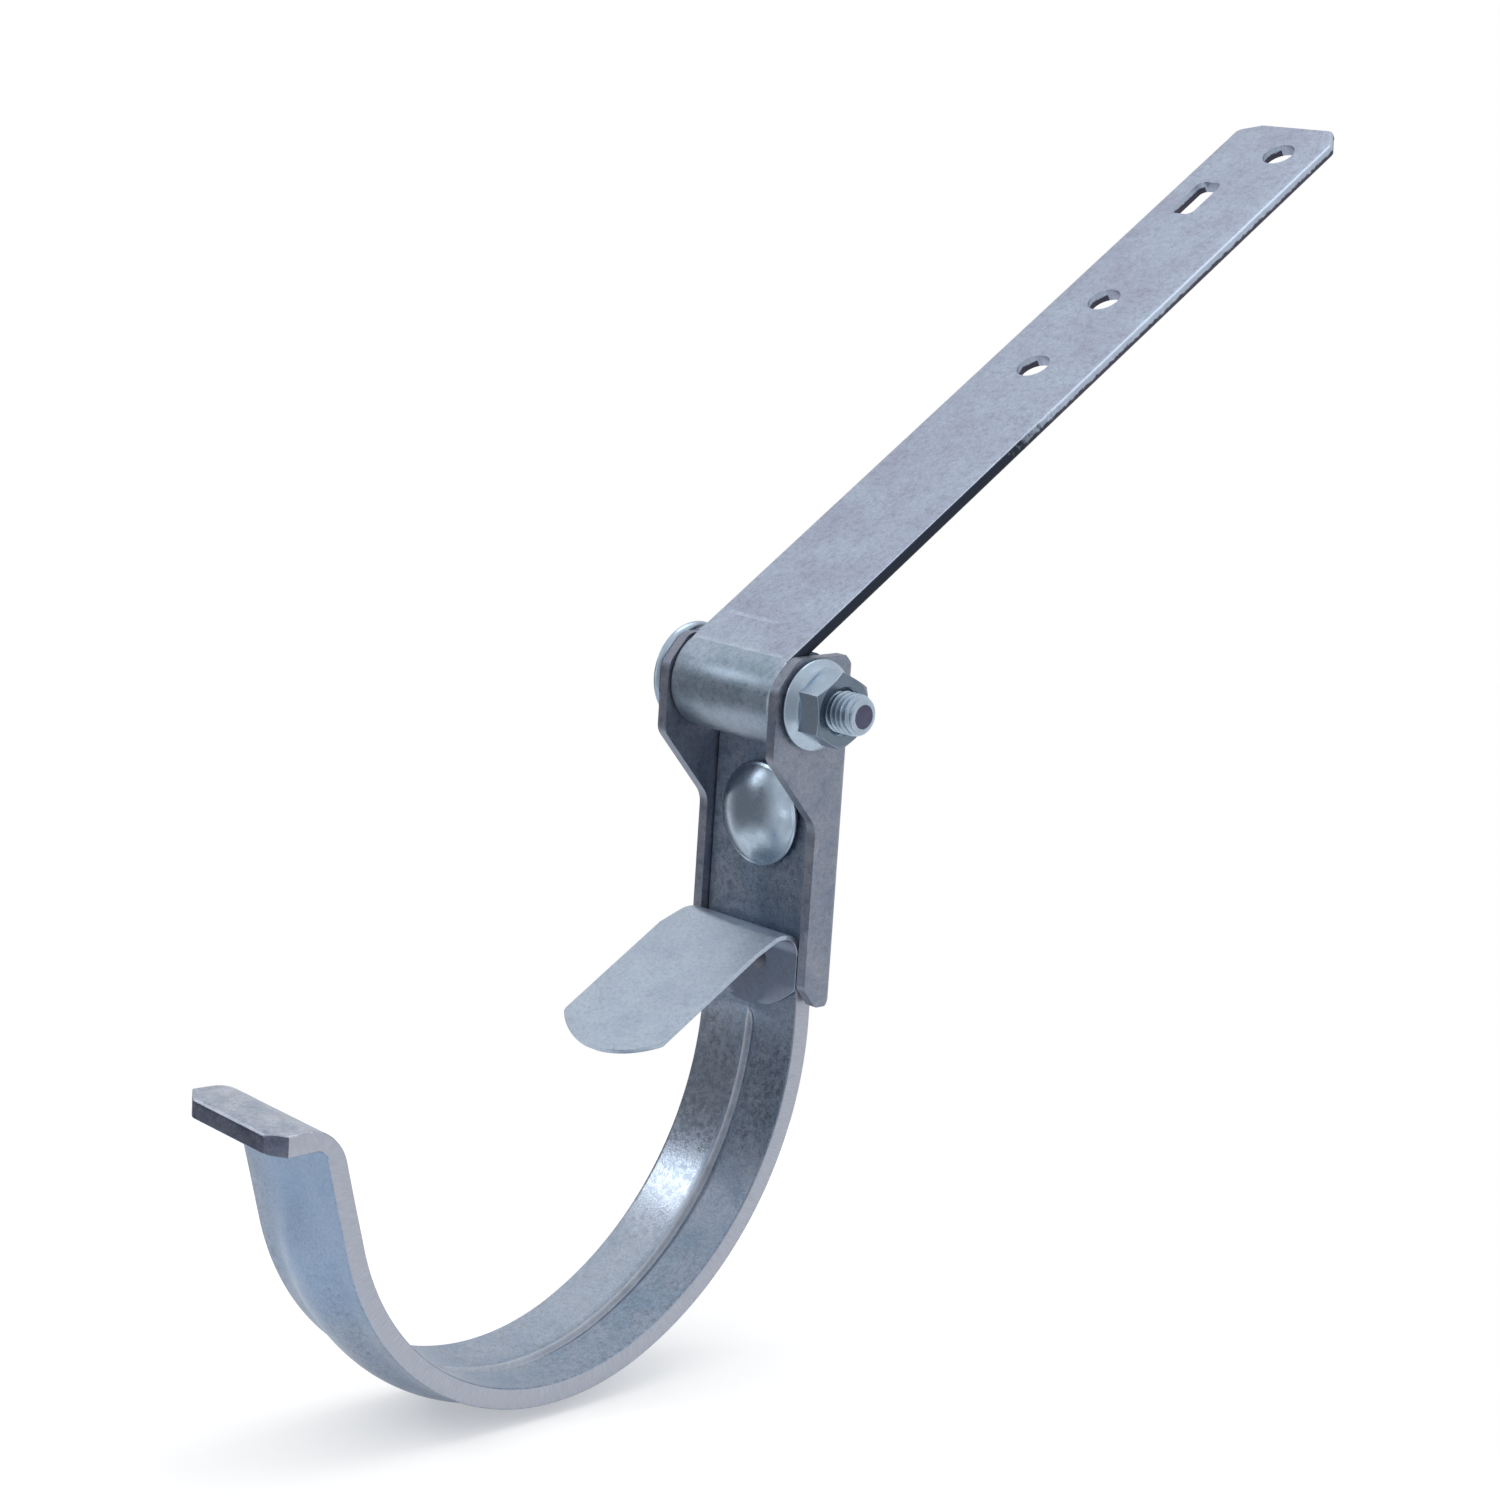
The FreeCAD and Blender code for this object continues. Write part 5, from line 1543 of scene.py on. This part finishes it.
class BRACKET_OT_stage(bpy.types.Operator):
    """Pale floor, soft studio light and the camera"""
    bl_idname = "bracket.stage"
    bl_label = "Stage"

    def execute(self, context):
        scene = context.scene
        add_floor()
        add_world(scene)
        for name, (place, target, size, power) in LAMPS.items():
            light = bpy.data.lights.new(name, "AREA")
            light.shape = "DISK"
            light.size = size * MM
            light.energy = power
            lamp = bpy.data.objects.new(name, light)
            lamp.location = Vector(place) * MM
            aim = (Vector(target) - Vector(place)).normalized()
            lamp.rotation_euler = aim.to_track_quat("-Z", "Y").to_euler()
            scene.collection.objects.link(lamp)
        camera = bpy.data.cameras.new("photo_camera")
        camera.lens = CAMERA_LENS
        camera.sensor_width = CAMERA_SENSOR
        camera.sensor_fit = "HORIZONTAL"
        camera.clip_start = 0.01
        eye = bpy.data.objects.new("photo_camera", camera)
        eye.matrix_world = camera_matrix()
        scene.collection.objects.link(eye)
        scene.camera = eye
        scene.view_settings.view_transform = "Standard"
        return {"FINISHED"}


class BRACKET_PT_panel(bpy.types.Panel):
    """Lists the bracket's pieces in build order"""
    bl_idname = "BRACKET_PT_panel"
    bl_label = "Gutter bracket"
    bl_space_type = "VIEW_3D"
    bl_region_type = "UI"
    bl_category = "Bracket"

    def draw(self, context):
        for operator in PIECES:
            self.layout.operator(operator.bl_idname)


PIECES = (
    BRACKET_OT_rafter_strap,
    BRACKET_OT_clevis_channel,
    BRACKET_OT_gutter_hook,
    BRACKET_OT_spring_clip,
    BRACKET_OT_clip_rivet,
    BRACKET_OT_bolts,
    BRACKET_OT_nuts,
    BRACKET_OT_pivot_sleeve,
    BRACKET_OT_stage,
)
GROUPS = (HookSizes, StrapSizes, ChannelSizes, ClipSizes, FastenerSizes, ZincColours,
          BracketSettings)


def register():
    for item in GROUPS + PIECES + (BRACKET_PT_panel,):
        bpy.utils.register_class(item)
    bpy.types.Scene.bracket = PointerProperty(type=BracketSettings)


def unregister():
    del bpy.types.Scene.bracket
    for item in reversed(GROUPS + PIECES + (BRACKET_PT_panel,)):
        bpy.utils.unregister_class(item)


def main():
    register()
    bpy.ops.bracket.rafter_strap()
    bpy.ops.bracket.clevis_channel()
    bpy.ops.bracket.gutter_hook()
    bpy.ops.bracket.spring_clip()
    bpy.ops.bracket.clip_rivet()
    bpy.ops.bracket.bolts()
    bpy.ops.bracket.nuts()
    bpy.ops.bracket.pivot_sleeve()
    bpy.ops.bracket.stage()


if __name__ == "__main__":
    main()
